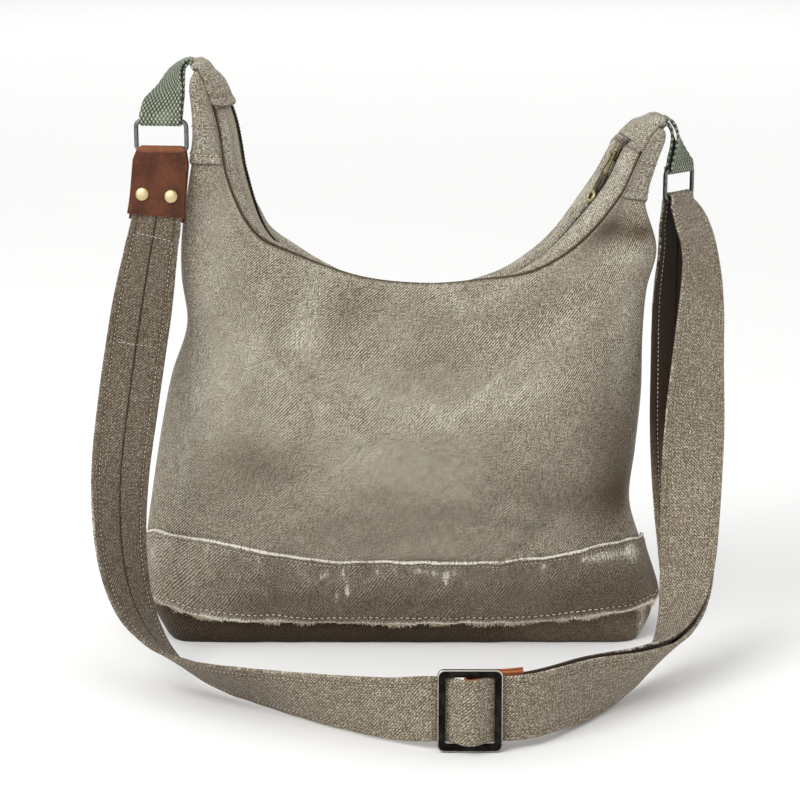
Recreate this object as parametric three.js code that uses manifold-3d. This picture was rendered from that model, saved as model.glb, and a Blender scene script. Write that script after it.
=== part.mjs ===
// A washed canvas crossbody bag with a scooped zip mouth, two horns and an adjustable strap.
// Millimetres, +Z up, front towards -Y. The origin is the middle of the base, on the floor.
import * as THREE from 'three';
import { mergeVertices } from 'three/addons/utils/BufferGeometryUtils.js';
import Module from 'manifold-3d';

const wasm = await Module();
wasm.setup();

// Driving dimensions
const CANVAS = 1.6; // wall of the body canvas
const GAP = 0.3; // clearance between neighbouring pieces
const BASE_HALF_DEPTH = 43;
const LAP = CANVAS + 0.8; // the base tray is lapped behind the panels by this much
const PANEL_FOOT = 0.076; // share of the panel height where the panels end, over the tray
const TRAY_TOP = 0.11; // share of the panel height where the tray wall ends
const FACING = 1.4; // folded facing beside the zip
const FACING_START = 3.6; // from the mouth edge to the facing
const FACING_SHARE = 0.66; // of the way from the mouth edge to the zip
const TAPE = 1;
const CHAIN = { half: 2.6, below: 0.8, above: 1.6 };
const HEM = { thick: 2.2, lift: 0.7, foot: 0.072, top: 0.241 }; // foot and top as shares of the height
const HEM_DROP = { left: 0.048, leftPower: 5.5, right: 0.061, rightPower: 1.85 }; // of its top, to the sides
const PATCH = { thick: 1.5, lift: 1.6 };
const STRAP = { width: 40, thick: 2.8, gathered: 26, opens: 18, inTab: 34 };
const WEBBING = { width: 28, thick: 1.6 };
const RING = { inner: 31, tall: 17, wire: 3, corner: 2.5 };
const TAB = { thick: 2, front: 43, back: 46, settle: 8, gathered: 0.92 };
const RIVET = { cap: 4.5, back: 4, post: 1.5, spread: 9.8, down: 29.5, dome: 2.3 };
const BUCKLE = { long: 39, tall: 50.6, bar: 4.8, centre: 3, thick: 3, corner: 4 };
const KEEPER = { thick: 1.4, width: 36 };
const SLIDER = { at: 0.835, long: 12, half: 4.2, thick: 1.6, crown: 2, crownTall: 2.4 };
const PULL = { long: 38, thick: 1.4, frame: 17, half: 3.8, side: 1.4, bar: 2, eye: 4.6, hole: 2.5 };

// Mouth of the bag from the left tip to the right tip: x, z and half depth y of the front edge,
// how far the zip stands out of the mouth there, and how far the back edge does.
const MOUTH = [
  { s: -1.0, x: -139, z: 383, y: 0, zip: 6, back: 0 },
  { s: -0.97, x: -138, z: 384, y: 16.5, zip: 6, back: 0 },
  { s: -0.94, x: -133, z: 388, y: 19, zip: 6, back: 2 },
  { s: -0.86, x: -122, z: 356, y: 18.5, zip: 9.5, back: 4 },
  { s: -0.76, x: -116, z: 318, y: 19, zip: 10.5, back: 4 },
  { s: -0.62, x: -99, z: 282, y: 18, zip: 5, back: 5 },
  { s: -0.46, x: -72, z: 266, y: 13, zip: -5, back: 1 },
  { s: -0.22, x: -28, z: 250, y: 8, zip: -13, back: -4 },
  { s: 0.02, x: 16, z: 245, y: 7, zip: -14, back: -5 },
  { s: 0.24, x: 56, z: 248, y: 9, zip: -10, back: -1 },
  { s: 0.42, x: 89, z: 254, y: 14, zip: 0, back: 8 },
  { s: 0.58, x: 119, z: 273, y: 18, zip: 8, back: 14 },
  { s: 0.74, x: 146, z: 305, y: 18.5, zip: 10, back: 18 },
  { s: 0.86, x: 159, z: 333, y: 18.5, zip: 9, back: 15 },
  { s: 0.94, x: 170, z: 351, y: 19, zip: 6, back: 7 },
  { s: 0.97, x: 175, z: 348, y: 16.5, zip: 6, back: 0 },
  { s: 1.0, x: 176, z: 346, y: 0, zip: 6, back: 0 },
];

// Side seams from the base to the horn tips, left and right.
const SEAMS = [
  { t: 0.0, leftX: -166, leftZ: 0, rightX: 171, rightZ: 0 },
  { t: 0.06, leftX: -177, leftZ: 21, rightX: 179, rightZ: 20 },
  { t: 0.16, leftX: -178, leftZ: 60, rightX: 168, rightZ: 60 },
  { t: 0.25, leftX: -173, leftZ: 98, rightX: 159, rightZ: 92 },
  { t: 0.36, leftX: -165, leftZ: 145, rightX: 162, rightZ: 130 },
  { t: 0.46, leftX: -157, leftZ: 182, rightX: 165, rightZ: 170 },
  { t: 0.55, leftX: -146, leftZ: 216, rightX: 165, rightZ: 208 },
  { t: 0.64, leftX: -149, leftZ: 250, rightX: 167, rightZ: 240 },
  { t: 0.72, leftX: -148, leftZ: 280, rightX: 173, rightZ: 268 },
  { t: 0.82, leftX: -142, leftZ: 316, rightX: 164, rightZ: 300 },
  { t: 0.9, leftX: -137, leftZ: 346, rightX: 167.5, rightZ: 321 },
  { t: 1.0, leftX: -139, leftZ: 383, rightX: 176, rightZ: 346 },
];

// Half depth of the body up its middle, and how square its level sections are.
const BELLY = [
  { t: 0, y: BASE_HALF_DEPTH, square: 24 },
  { t: 0.07, y: 46, square: 11 },
  { t: 0.2, y: 50, square: 4.2 },
  { t: 0.36, y: 52, square: 3.2 },
  { t: 0.56, y: 46, square: 3 },
  { t: 0.76, y: 32, square: 3.6 },
  { t: 0.9, y: 18, square: 6 },
  { t: 1, y: 8, square: 10 },
];

// Slack folds and dents on each panel: middle, half length, half width, turn and depth inwards.
const FOLDS = [
  { x: -138, z: 212, long: 34, wide: 13, turn: 12, deep: 5 },
  { x: 148, z: 94, long: 32, wide: 14, turn: -14, deep: 5 },
  { x: -92, z: 236, long: 46, wide: 12, turn: -52, deep: 3.5 },
  { x: 112, z: 226, long: 50, wide: 13, turn: 48, deep: 4 },
  { x: 40, z: 214, long: 60, wide: 12, turn: 8, deep: 2.5 },
  { x: -30, z: 92, long: 70, wide: 16, turn: -6, deep: 2.5 },
];

// The strap's free stretches as sections: middle of the width, and the direction of its top or
// outer edge. First from the leather tab down and round to the buckle.
const STRAP_LEFT = [
  { x: -166.5, y: -27, z: 268, wx: -1, wy: 0.02, wz: 0.1 },
  { x: -172, y: -42, z: 230, wx: -1, wy: -0.04, wz: 0.08 },
  { x: -179, y: -64, z: 176, wx: -0.95, wy: -0.24, wz: 0.1 },
  { x: -184, y: -80, z: 126, wx: -0.86, wy: -0.47, wz: 0.14 },
  { x: -182, y: -96, z: 80, wx: -0.71, wy: -0.66, wz: 0.2 },
  { x: -171, y: -113, z: 46, wx: -0.57, wy: -0.73, wz: 0.36 },
  { x: -151, y: -132, z: 26, wx: -0.44, wy: -0.71, wz: 0.54 },
  { x: -124, y: -150, z: 18, wx: -0.33, wy: -0.66, wz: 0.67 },
  { x: -92, y: -171, z: 18, wx: -0.22, wy: -0.56, wz: 0.8 },
  { x: -49, y: -197, z: 19.8, wx: -0.1, wy: -0.34, wz: 0.93 },
  { x: -8, y: -218, z: 22.4, wx: 0, wy: -0.08, wz: 0.99 },
];
// Then from the buckle round the right corner and up behind, to the ring. From there it returns
// in front, at `gap` inside this stretch and moved by `slide` along its width, to the keeper.
const STRAP_OUTER = [
  { x: 116, y: -186, z: 22, wx: -0.06, wy: -0.12, wz: 0.98, gap: 5.6, slide: 0 },
  { x: 145, y: -158, z: 20.4, wx: 0.1, wy: -0.5, wz: 0.85, gap: 5.2, slide: 0 },
  { x: 167, y: -131, z: 22.5, wx: 0.34, wy: -0.65, wz: 0.67, gap: 5, slide: 0 },
  { x: 182, y: -109, z: 37, wx: 0.55, wy: -0.66, wz: 0.5, gap: 5, slide: 1 },
  { x: 188, y: -88, z: 66, wx: 0.8, wy: -0.5, wz: 0.32, gap: 5.6, slide: 3 },
  { x: 187, y: -61, z: 118, wx: 0.95, wy: -0.16, wz: 0.2, gap: 8, slide: 7 },
  { x: 186, y: -26, z: 186, wx: 0.88, wy: 0.44, wz: 0.08, gap: 16, slide: 7.5 },
  { x: 186.5, y: 0, z: 236, wx: 0.76, wy: 0.64, wz: 0.02, gap: 20, slide: 6 },
  { x: 187, y: 6, z: 272, wx: 0.66, wy: 0.75, wz: 0, gap: 16, slide: 2 },
];

// Webbing loops: the middle line between their two legs from the horn tip to the ring, and the
// `gap` between the legs.
const LEFT_WEBBING = [
  { x: -132, y: 0, z: 374, wx: 0, wy: -1, gap: 2.4 },
  { x: -132.8, y: 0, z: 385.4, wx: 0, wy: -1, gap: 2.2 },
  { x: -140, y: 0, z: 393.2, wx: 0.05, wy: -0.99, gap: 2 },
  { x: -148.4, y: -2.4, z: 387.4, wx: 0.28, wy: -0.96, gap: 3.4 },
  { x: -153, y: -8.1, z: 376.4, wx: 0.62, wy: -0.78, gap: 4.2 },
  { x: -156.4, y: -14.5, z: 367, wx: 0.92, wy: -0.34, gap: 4.8 },
];
const RIGHT_WEBBING = [
  { x: 165.4, y: 0, z: 337.7, wx: 0, wy: 1, gap: 2.4 },
  { x: 170.4, y: 0, z: 348.6, wx: 0, wy: 1, gap: 2.6 },
  { x: 177.2, y: 0, z: 354, wx: 0, wy: 1, gap: 2.8 },
  { x: 182.2, y: -0.2, z: 348, wx: 0.06, wy: 0.99, gap: 3.4 },
  { x: 184, y: -0.1, z: 339, wx: 0.22, wy: 0.97, gap: 4.2 },
  { x: 185.4, y: 0, z: 330.6, wx: 0.45, wy: 0.89, gap: 5 },
];

// Rings: middle of the lower bar, and the turn of the ring about the vertical.
const LEFT_RING = { x: -158.4, y: -17.2, z: 335, turn: -8 };
const RIGHT_RING = { x: 186.8, y: 0, z: 302, turn: 51 };
const TAB_DOWN = new THREE.Vector3(-0.085, -0.18, -0.98).normalize();
const BUCKLE_AT = new THREE.Vector3(41, -230, 25.8);
const BUCKLE_LEAN = 4; // degrees the buckle leans back from the upright
const STRAP_BEND = 0.013; // how fast the strap bends back to the right of the buckle

// Materials
const finish = (color, roughness, metalness = 0) =>
  new THREE.MeshStandardMaterial({ color, roughness, metalness });
const canvas = finish(0x96896f, 0.95);
const darkCanvas = finish(0x6f6654, 0.95);
const leather = finish(0x74432f, 0.6);
const webbing = finish(0x5c6a52, 0.95);
const steel = finish(0x3c3e3e, 0.4, 0.9);
const brass = finish(0xc0ad74, 0.35, 0.9);
const antique = finish(0x7d7048, 0.45, 0.9);
const zipTape = finish(0x8d8468, 0.9);

// Interpolation
const V = (x, y, z) => new THREE.Vector3(x, y, z);
const mix = (a, b, u) => a + (b - a) * u;
const smooth = (u) => u * u * (3 - 2 * u);
const clamp = (u) => Math.min(1, Math.max(0, u));
const steps = (count, from = 0, to = 1) =>
  Array.from({ length: count + 1 }, (_, i) => mix(from, to, i / count));

// Every column of a table at `at`, on a smooth cubic through its rows.
function row(table, key, at) {
  const last = table.length - 1;
  let i = 0;
  while (i < last - 1 && at > table[i + 1][key]) i += 1;
  const slope = (name, k) => {
    const before = Math.max(0, k - 1);
    const after = Math.min(last, k + 1);
    return (table[after][name] - table[before][name]) / (table[after][key] - table[before][key]);
  };
  const span = table[i + 1][key] - table[i][key];
  const u = (at - table[i][key]) / span;
  const out = {};
  for (const name of Object.keys(table[i])) {
    const rise = table[i + 1][name] - table[i][name];
    const a = slope(name, i) * span - rise;
    const b = rise - slope(name, i + 1) * span;
    out[name] = mix(table[i][name], table[i + 1][name], u) + u * (1 - u) * (a * (1 - u) + b * u);
  }
  return out;
}

// Mesh makers
function solid(points, triangles) {
  let volume = 0;
  for (const [a, b, c] of triangles) {
    volume += points[a].dot(V().crossVectors(points[b], points[c]));
  }
  const turned = volume < 0 ? triangles.map(([a, b, c]) => [a, c, b]) : triangles;
  const geometry = new THREE.BufferGeometry();
  geometry.setAttribute('position', new THREE.Float32BufferAttribute(
    points.flatMap((p) => [p.x, p.y, p.z]), 3));
  geometry.setIndex(turned.flat());
  return geometry;
}

// A body through a row of closed sections with equal point counts, capped unless it closes. The
// two broad faces of a flat section are split along the same diagonal, so a twist keeps its wall.
function loft(sections, closed = false) {
  const around = sections[0].length;
  const points = sections.flat();
  const triangles = [];
  const spans = closed ? sections.length : sections.length - 1;
  for (let i = 0; i < spans; i += 1) {
    const here = i * around;
    const next = ((i + 1) % sections.length) * around;
    for (let k = 0; k < around; k += 1) {
      const after = (k + 1) % around;
      if (k < around / 2) {
        triangles.push([here + k, here + after, next + after], [here + k, next + after, next + k]);
      } else {
        triangles.push([here + k, here + after, next + k], [here + after, next + after, next + k]);
      }
    }
  }
  if (!closed) {
    const end = (sections.length - 1) * around;
    for (let k = 1; k < around - 1; k += 1) {
      triangles.push([0, k + 1, k], [end, end + k, end + k + 1]);
    }
  }
  return solid(points, triangles);
}

// The unit normals of a grid of points, towards `outward` where it is given.
function gridNormals(grid, outward) {
  const rows = grid.length;
  const columns = grid[0].length;
  const across = (i, j) => V().subVectors(
    grid[i][Math.min(columns - 1, j + 1)], grid[i][Math.max(0, j - 1)]);
  const along = (i, j) => V().subVectors(
    grid[Math.min(rows - 1, i + 1)][j], grid[Math.max(0, i - 1)][j]);
  return grid.map((line, i) => line.map((point, j) => {
    const normal = V().crossVectors(across(i, j), along(i, j)).normalize();
    return outward && normal.dot(outward(point)) < 0 ? normal.negate() : normal;
  }));
}

// A wall whose faces stand `low` and `high` off a grid of points along its normals.
function wall(grid, outward, low, high) {
  const rows = grid.length;
  const columns = grid[0].length;
  const normals = gridNormals(grid, outward);
  const face = (off) => grid.flatMap((line, i) =>
    line.map((point, j) => point.clone().addScaledVector(normals[i][j], off)));
  const points = [...face(high), ...face(low)];
  const at = (i, j, under) => i * columns + j + (under ? rows * columns : 0);
  const triangles = [];
  const quad = (a, b, c, d) => triangles.push([a, b, c], [a, c, d]);
  for (let i = 0; i < rows - 1; i += 1) {
    for (let j = 0; j < columns - 1; j += 1) {
      quad(at(i, j), at(i, j + 1), at(i + 1, j + 1), at(i + 1, j));
      quad(at(i, j, true), at(i + 1, j, true), at(i + 1, j + 1, true), at(i, j + 1, true));
    }
  }
  const rim = (i, j, k, l) => quad(at(i, j), at(i, j, true), at(k, l, true), at(k, l));
  for (let j = 0; j < columns - 1; j += 1) {
    rim(0, j, 0, j + 1);
    rim(rows - 1, j + 1, rows - 1, j);
  }
  for (let i = 0; i < rows - 1; i += 1) {
    rim(i + 1, 0, i, 0);
    rim(i, columns - 1, i + 1, columns - 1);
  }
  return solid(points, triangles);
}

// A folded sheet of even thickness about a grid of points.
const sheet = (grid, thick) => wall(grid, null, -thick / 2, thick / 2);

// A flat strip along `stations`, each with its middle `at` and the direction `w` of one edge.
function strip(stations, width, thick) {
  const last = stations.length - 1;
  return loft(stations.map(({ at, w, narrow = 1 }, i) => {
    const tangent = V().subVectors(stations[Math.min(last, i + 1)].at, stations[Math.max(0, i - 1)].at);
    const normal = V().crossVectors(tangent, w).normalize();
    const edge = V().crossVectors(normal, tangent).normalize();
    return [[-1, -1], [1, -1], [1, 1], [-1, 1]].map(([across, out]) => at.clone()
      .addScaledVector(edge, across * narrow * width / 2)
      .addScaledVector(normal, out * thick / 2));
  }));
}

// Stations of a strip through control sections, `per` to each span.
function stations(sections, per) {
  const table = sections.map((section, k) => ({ k, wz: 0, ...section }));
  return steps((table.length - 1) * per, 0, table.length - 1).map((k) => {
    const { x, y, z, wx, wy, wz, gap, slide } = row(table, 'k', k);
    return { at: V(x, y, z), w: V(wx, wy, wz).normalize(), gap, slide };
  });
}

// The sections of another layer, `share` of each station's gap inside it and moved by its slide.
function alongside(stretch, share) {
  const last = stretch.length - 1;
  return stretch.map(({ at, w, gap, slide = 0 }, i) => {
    const along = V().subVectors(stretch[Math.min(last, i + 1)].at, stretch[Math.max(0, i - 1)].at);
    const outside = V().crossVectors(along, w).normalize();
    const { x, y, z } = at.clone().addScaledVector(outside, -gap * share).addScaledVector(w, slide);
    return { x, y, z, wx: w.x, wy: w.y, wz: w.z };
  });
}

function toManifold(geometry) {
  const bare = geometry.clone();
  bare.deleteAttribute('normal');
  bare.deleteAttribute('uv');
  const merged = mergeVertices(bare, 1e-3);
  return new wasm.Manifold(new wasm.Mesh({
    numProp: 3,
    vertProperties: new Float32Array(merged.attributes.position.array),
    triVerts: new Uint32Array(merged.index.array),
  }));
}

function fromManifold(manifold) {
  const mesh = manifold.getMesh();
  const geometry = new THREE.BufferGeometry();
  geometry.setAttribute('position', new THREE.Float32BufferAttribute(mesh.vertProperties, 3));
  geometry.setIndex(Array.from(mesh.triVerts));
  return geometry;
}

const cut = (geometry, tools) => fromManifold(
  tools.reduce((body, tool) => body.subtract(toManifold(tool)), toManifold(geometry)));
const join = (geometries) => fromManifold(
  geometries.map(toManifold).reduce((body, piece) => body.add(piece)));

const bag = new THREE.Group();
function piece(name, geometry, material) {
  const mesh = new THREE.Mesh(geometry, material);
  mesh.name = name;
  bag.add(mesh);
}

// Body form
// The mouth at s: the front edge, the back edge, the zip between them and the way out of the bag.
function mouth(s) {
  const here = row(MOUTH, 's', s);
  const ahead = row(MOUTH, 's', Math.min(1, s + 0.01));
  const behind = row(MOUTH, 's', Math.max(-1, s - 0.01));
  const out = V(-(ahead.z - behind.z), 0, ahead.x - behind.x).normalize();
  const tip = smooth(clamp((0.97 - Math.abs(s)) / 0.06));
  const front = V(here.x, -here.y, here.z);
  const lift = (rise) => V(here.x, 0, here.z).addScaledVector(out, rise);
  const back = lift(here.back * tip).setY(here.y);
  return { front, back, zip: lift(here.zip), out };
}

// The fold relief at a place on a panel, inwards.
function foldDepth(x, z) {
  return FOLDS.reduce((deep, fold) => {
    const turn = THREE.MathUtils.degToRad(fold.turn);
    const along = (x - fold.x) * Math.cos(turn) + (z - fold.z) * Math.sin(turn);
    const across = (z - fold.z) * Math.cos(turn) - (x - fold.x) * Math.sin(turn);
    return deep + fold.deep * Math.exp(-((along / fold.long) ** 2) - (across / fold.wide) ** 2);
  }, 0);
}

// A point of the front (side -1) or back (side 1) panel: its outline is a patch between the base
// line, the two side seams and the mouth edge, and its depth swells between them.
function bodyPoint(side, s, t) {
  const edge = mouth(s);
  const top = side < 0 ? edge.front : edge.back;
  const seams = row(SEAMS, 't', t);
  const tips = SEAMS[SEAMS.length - 1];
  const u = (s + 1) / 2;
  const x = mix(seams.leftX, seams.rightX, u) + t * (top.x - mix(tips.leftX, tips.rightX, u));
  const z = mix(seams.leftZ, seams.rightZ, u) + t * (top.z - mix(tips.leftZ, tips.rightZ, u));
  const belly = row(BELLY, 't', t);
  const swell = Math.sqrt(Math.max(0, 1 - Math.abs(s) ** belly.square));
  const upper = smooth(clamp((t - 0.45) / 0.55));
  const depth = mix(belly.y * swell, Math.abs(top.y), upper);
  const relief = foldDepth(x, z) * swell * smooth(clamp((1 - t) / 0.2));
  return V(x, side * Math.max(0, depth - relief), z);
}

// Places across a panel, closer together towards the side seams.
const spread = (count, reach = 1) => steps(count, -1, 1).map((u) => reach * Math.sin(u * Math.PI / 2));
const bodyGrid = (side, across, up) => up.map((t) => across.map((s) => bodyPoint(side, s, t)));
const fromMiddle = (side) => (p) => V(p.x * 0.1, side * 40 + p.y * 0.2, (p.z - 160) * 0.02);

const PANEL_ACROSS = spread(28, 0.99999);
const PANEL_UP = [
  PANEL_FOOT, 0.13, 0.2, 0.28, 0.36, 0.44, 0.52, 0.6, 0.68, 0.75, 0.81, 0.86, 0.91, 0.955, 1,
];
// Keeps a panel on its own side of the seams.
function onSide(geometry, side) {
  const at = geometry.attributes.position;
  for (let i = 0; i < at.count; i += 1) at.setY(i, side * Math.max(GAP / 2, side * at.getY(i)));
  return geometry;
}
for (const [name, side] of [['front_panel', -1], ['back_panel', 1]]) {
  const grid = bodyGrid(side, PANEL_ACROSS, PANEL_UP);
  piece(name, onSide(wall(grid, fromMiddle(side), -CANVAS, 0), side), canvas);
}

// Base tray, lapped inside the panels, with its flat bottom on the floor
function trayRing(t, inset, z) {
  const across = spread(24, 0.998);
  const loop = [
    ...across.map((s) => bodyPoint(-1, s, t)),
    ...across.map((s) => bodyPoint(1, -s, t)),
  ];
  return loop.map((p, k) => {
    const next = loop[(k + 1) % loop.length];
    const before = loop[(k + loop.length - 1) % loop.length];
    const along = V().subVectors(next, before);
    const inward = V(-along.y, along.x, 0).normalize();
    return p.clone().addScaledVector(inward, inset).setZ(z ?? p.z);
  });
}
const TRAY_RISE = [0.03, 0.065, TRAY_TOP];
piece('base_panel', loft([
  trayRing(0, LAP, 0),
  ...TRAY_RISE.map((t) => trayRing(t, LAP)),
  ...TRAY_RISE.toReversed().map((t) => trayRing(t, LAP + CANVAS)),
  trayRing(0.004, LAP + CANVAS, CANVAS),
]), darkCanvas);

// Hem band across the front, a second layer whose top edge sags in the middle
const hemTop = (s) => HEM.top - (s < 0
  ? HEM_DROP.left * (-s) ** HEM_DROP.leftPower
  : HEM_DROP.right * s ** HEM_DROP.rightPower);
const HEM_ACROSS = spread(28, 0.9993);
const hemGrid = steps(3).map((v) => HEM_ACROSS.map((s) => bodyPoint(-1, s, mix(HEM.foot, hemTop(s), v))));
piece('hem_band', wall(hemGrid, fromMiddle(-1), HEM.lift, HEM.lift + HEM.thick), canvas);

// Zip mouth: facings, tapes and chain
// A point across the mouth: side -1 at the front edge, 0 on the zip, 1 at the back edge.
function mouthPoint(s, v) {
  const edge = mouth(s);
  return edge.zip.clone().lerp(v < 0 ? edge.front : edge.back, Math.abs(v));
}
const mouthWidth = (s, side) => mouth(s).zip.distanceTo(side < 0 ? mouth(s).front : mouth(s).back);
const outOfMouth = (side) => (p) => {
  const middle = V(16, 0, 420);
  return V().subVectors(middle, p).setY(side * -14);
};
const MOUTH_ALONG = steps(30, -0.93, 0.93);
for (const [name, side] of [['front', -1], ['back', 1]]) {
  const across = (near, far) => MOUTH_ALONG.map((s) => {
    const width = mouthWidth(s, side);
    return steps(1, near(width), far(width)).map((v) => mouthPoint(s, side * v));
  });
  const facing = across((width) => 1 - FACING_START / width, () => 1 - FACING_SHARE);
  const tape = across(() => 1.1 - FACING_SHARE, (width) => (CHAIN.half + 0.8) / width);
  piece(`${name}_zip_facing`, wall(facing, outOfMouth(side), 0, FACING), canvas);
  piece(`${name}_zip_tape`, wall(tape, outOfMouth(side), -GAP - TAPE, -GAP), zipTape);
}
piece('zip_chain', loft(steps(44, -0.872, 0.872).map((s) => {
  const { zip, out } = mouth(s);
  return [[-1, -CHAIN.below], [1, -CHAIN.below], [1, CHAIN.above], [-1, CHAIN.above]]
    .map(([y, n]) => zip.clone().addScaledVector(out, n).setY(y * CHAIN.half));
})), antique);

// Zip end tabs over both ends of the mouth
const TAB_LIFT = FACING + GAP + 0.4;
for (const [name, from, to] of [['left', -0.935, -0.882], ['right', 0.935, 0.885]]) {
  const grid = steps(3, from, to).map((s) => steps(8, -0.98, 0.98).map((v) => mouthPoint(s, v)));
  const out = (p) => mouth((from + to) / 2).out.clone().add(V(0, p.y * 0.01, 0));
  piece(`${name}_zip_end_tab`, wall(grid, out, TAB_LIFT, TAB_LIFT + PATCH.thick), canvas);
}

// Horn patches wrapped round the outside of each horn, from mouth edge to mouth edge
// The share between `from` and `to` where `height` passes `level`.
function crossing(from, to, level, height) {
  const rising = height(to) > height(from);
  let low = from;
  let high = to;
  for (let i = 0; i < 30; i += 1) {
    const middle = (low + high) / 2;
    if ((height(middle) < level) === rising) low = middle;
    else high = middle;
  }
  return low;
}
const HORNS = [
  { name: 'left', end: -1, top: 382, low: 326 },
  { name: 'right', end: 1, top: 345, low: 302 },
];
for (const { name, end, top, low } of HORNS) {
  const grid = steps(5).map((v) => {
    const level = mix(top, low, v);
    const half = (side) => {
      const edge = crossing(end * 0.945, end * 0.6, level, (s) => bodyPoint(side, s, 0.97).z);
      return steps(8).map((u) => {
        const s = mix(edge, end * 0.9998, 1 - (1 - u) ** 2.2);
        return bodyPoint(side, s, crossing(0.6, 1, level, (t) => bodyPoint(side, s, t).z));
      });
    };
    return [...half(-1), ...half(1).reverse().slice(1)];
  });
  const out = (p) => V(p.x - end * 122, p.y, 0);
  piece(`${name}_horn_patch`, wall(grid, out, PATCH.lift, PATCH.lift + PATCH.thick), canvas);
}

// Rings and the frames that hang on them
function ringFrame({ x, y, z, turn }) {
  const angle = THREE.MathUtils.degToRad(turn);
  const across = V(Math.cos(angle), Math.sin(angle), 0);
  const low = V(x, y, z);
  const out = V(Math.sin(angle), -Math.cos(angle), 0);
  return { across, out, low, high: low.clone().setZ(z + RING.tall + RING.wire) };
}

// Points of a rounded rectangle, `half` wide and `rise` tall about its middle.
function roundedOutline(half, rise, radius, arc = 4) {
  const corners = [[1, 1, 0], [-1, 1, 90], [-1, -1, 180], [1, -1, 270]];
  return corners.flatMap(([a, b, start]) => steps(arc, start, start + 90).map((degrees) => {
    const angle = THREE.MathUtils.degToRad(degrees);
    const across = a * (half - radius) + radius * Math.cos(angle);
    return [across, b * (rise - radius) + radius * Math.sin(angle)];
  }));
}

function wireRing({ across, out, low, high }) {
  const middle = low.clone().lerp(high, 0.5);
  const half = (RING.inner + RING.wire) / 2;
  const rise = (RING.tall + RING.wire) / 2;
  const radius = RING.corner + RING.wire / 2;
  const path = roundedOutline(half, rise, radius).map(([a, b]) => middle.clone()
    .addScaledVector(across, a).add(V(0, 0, b)));
  return loft(path.map((point, i) => {
    const before = path[(i + path.length - 1) % path.length];
    const after = path[(i + 1) % path.length];
    const along = V().subVectors(after, before).normalize();
    const side = V().crossVectors(along, out);
    return steps(7, 0, Math.PI * 1.75).map((angle) => point.clone()
      .addScaledVector(side, Math.cos(angle) * RING.wire / 2)
      .addScaledVector(out, Math.sin(angle) * RING.wire / 2));
  }), true);
}

// Stations of a strip half way round a bar, from the side `from` over `top` to the other side.
function roundBar(bar, from, top, radius, w) {
  return steps(8, 0, Math.PI).map((angle) => ({
    at: bar.clone().addScaledVector(from, Math.cos(angle) * radius)
      .addScaledVector(top, Math.sin(angle) * radius),
    w,
  }));
}

const leftRing = ringFrame(LEFT_RING);
const rightRing = ringFrame(RIGHT_RING);
piece('left_ring', wireRing(leftRing), steel);
piece('right_ring', wireRing(rightRing), steel);

function webbingLoop(middle, { across, out, high }) {
  const radius = RING.wire / 2 + GAP + WEBBING.thick / 2;
  const seat = { x: high.x, y: high.y, z: high.z + 2.5, wx: across.x, wy: across.y, gap: 2 * radius };
  const line = stations([...middle, seat], 3);
  return strip([
    ...stations(alongside(line, -0.5), 1),
    ...roundBar(high, out, V(0, 0, -1), radius, across),
    ...stations(alongside(line, 0.5), 1).reverse(),
  ], WEBBING.width, WEBBING.thick);
}
piece('left_webbing', webbingLoop(LEFT_WEBBING, leftRing), webbing);
piece('right_webbing', webbingLoop(RIGHT_WEBBING, rightRing), webbing);

// Leather tab folded over the left ring, with two rivets through it and the strap end
const tabOut = V().crossVectors(TAB_DOWN, leftRing.across).normalize();
const tabAcross = V().crossVectors(tabOut, TAB_DOWN).normalize();
const tabRadius = RING.wire / 2 + GAP + TAB.thick / 2;
const onTab = (down, out, across = 0) => leftRing.low.clone().addScaledVector(TAB_DOWN, down)
  .addScaledVector(tabOut, out).addScaledVector(tabAcross, across);
// Its fold follows the lower wire of the ring, so both corners curl up round the ring's corners.
function ringWire(u) {
  const radius = RING.corner + RING.wire / 2;
  const flat = (RING.inner + RING.wire) / 2 - radius;
  const reach = Math.abs(u) * TAB.gathered;
  const angle = Math.max(0, reach - flat) / radius;
  const across = Math.sign(u) * (Math.min(reach, flat) + radius * Math.sin(angle));
  const centre = leftRing.low.clone().addScaledVector(leftRing.across, across)
    .add(V(0, 0, radius * (1 - Math.cos(angle))));
  const inward = leftRing.across.clone().multiplyScalar(-Math.sign(u) * Math.sin(angle))
    .add(V(0, 0, Math.cos(angle)));
  return { centre, inward };
}
function tabPoint(down, side, u) {
  const { centre } = ringWire(u);
  const hung = centre.addScaledVector(leftRing.out, side * tabRadius).addScaledVector(TAB_DOWN, down);
  return hung.lerp(onTab(down, side * tabRadius, u), smooth(clamp(down / TAB.settle)));
}
function tabFold(angle, u) {
  const { centre, inward } = ringWire(u);
  return centre.addScaledVector(leftRing.out, tabRadius * Math.cos(angle))
    .addScaledVector(inward, tabRadius * Math.sin(angle));
}
const TAB_ACROSS = [-18.5, -16.5, -14.5, -12, 0, 12, 14.5, 16.5, 18.5];
const TAB_DOWNS = [0.5, 6, 15];
const tabGrid = [
  ...[TAB.front, ...TAB_DOWNS.toReversed()].map((down) => TAB_ACROSS.map((u) => tabPoint(down, 1, u))),
  ...steps(5, 0.25, Math.PI - 0.25).map((angle) => TAB_ACROSS.map((u) => tabFold(angle, u))),
  ...[...TAB_DOWNS, TAB.back].map((down) => TAB_ACROSS.map((u) => tabPoint(down, -1, u))),
];
const rivetSeat = tabRadius + TAB.thick / 2 + 0.1;
const toTabOut = new THREE.Matrix4().makeBasis(tabAcross, tabOut, V().crossVectors(tabAcross, tabOut));
function onRivet(geometry, side) {
  const placed = geometry.clone().applyMatrix4(toTabOut);
  const at = onTab(RIVET.down, 0, side * RIVET.spread);
  return placed.translate(at.x, at.y, at.z);
}
const dome = steps(4, 0, Math.PI / 2).map((angle) => new THREE.Vector2(
  RIVET.cap * Math.cos(angle), rivetSeat + 0.5 + (RIVET.dome - 0.5) * Math.sin(angle)));
dome[dome.length - 1].x = 0;
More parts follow.
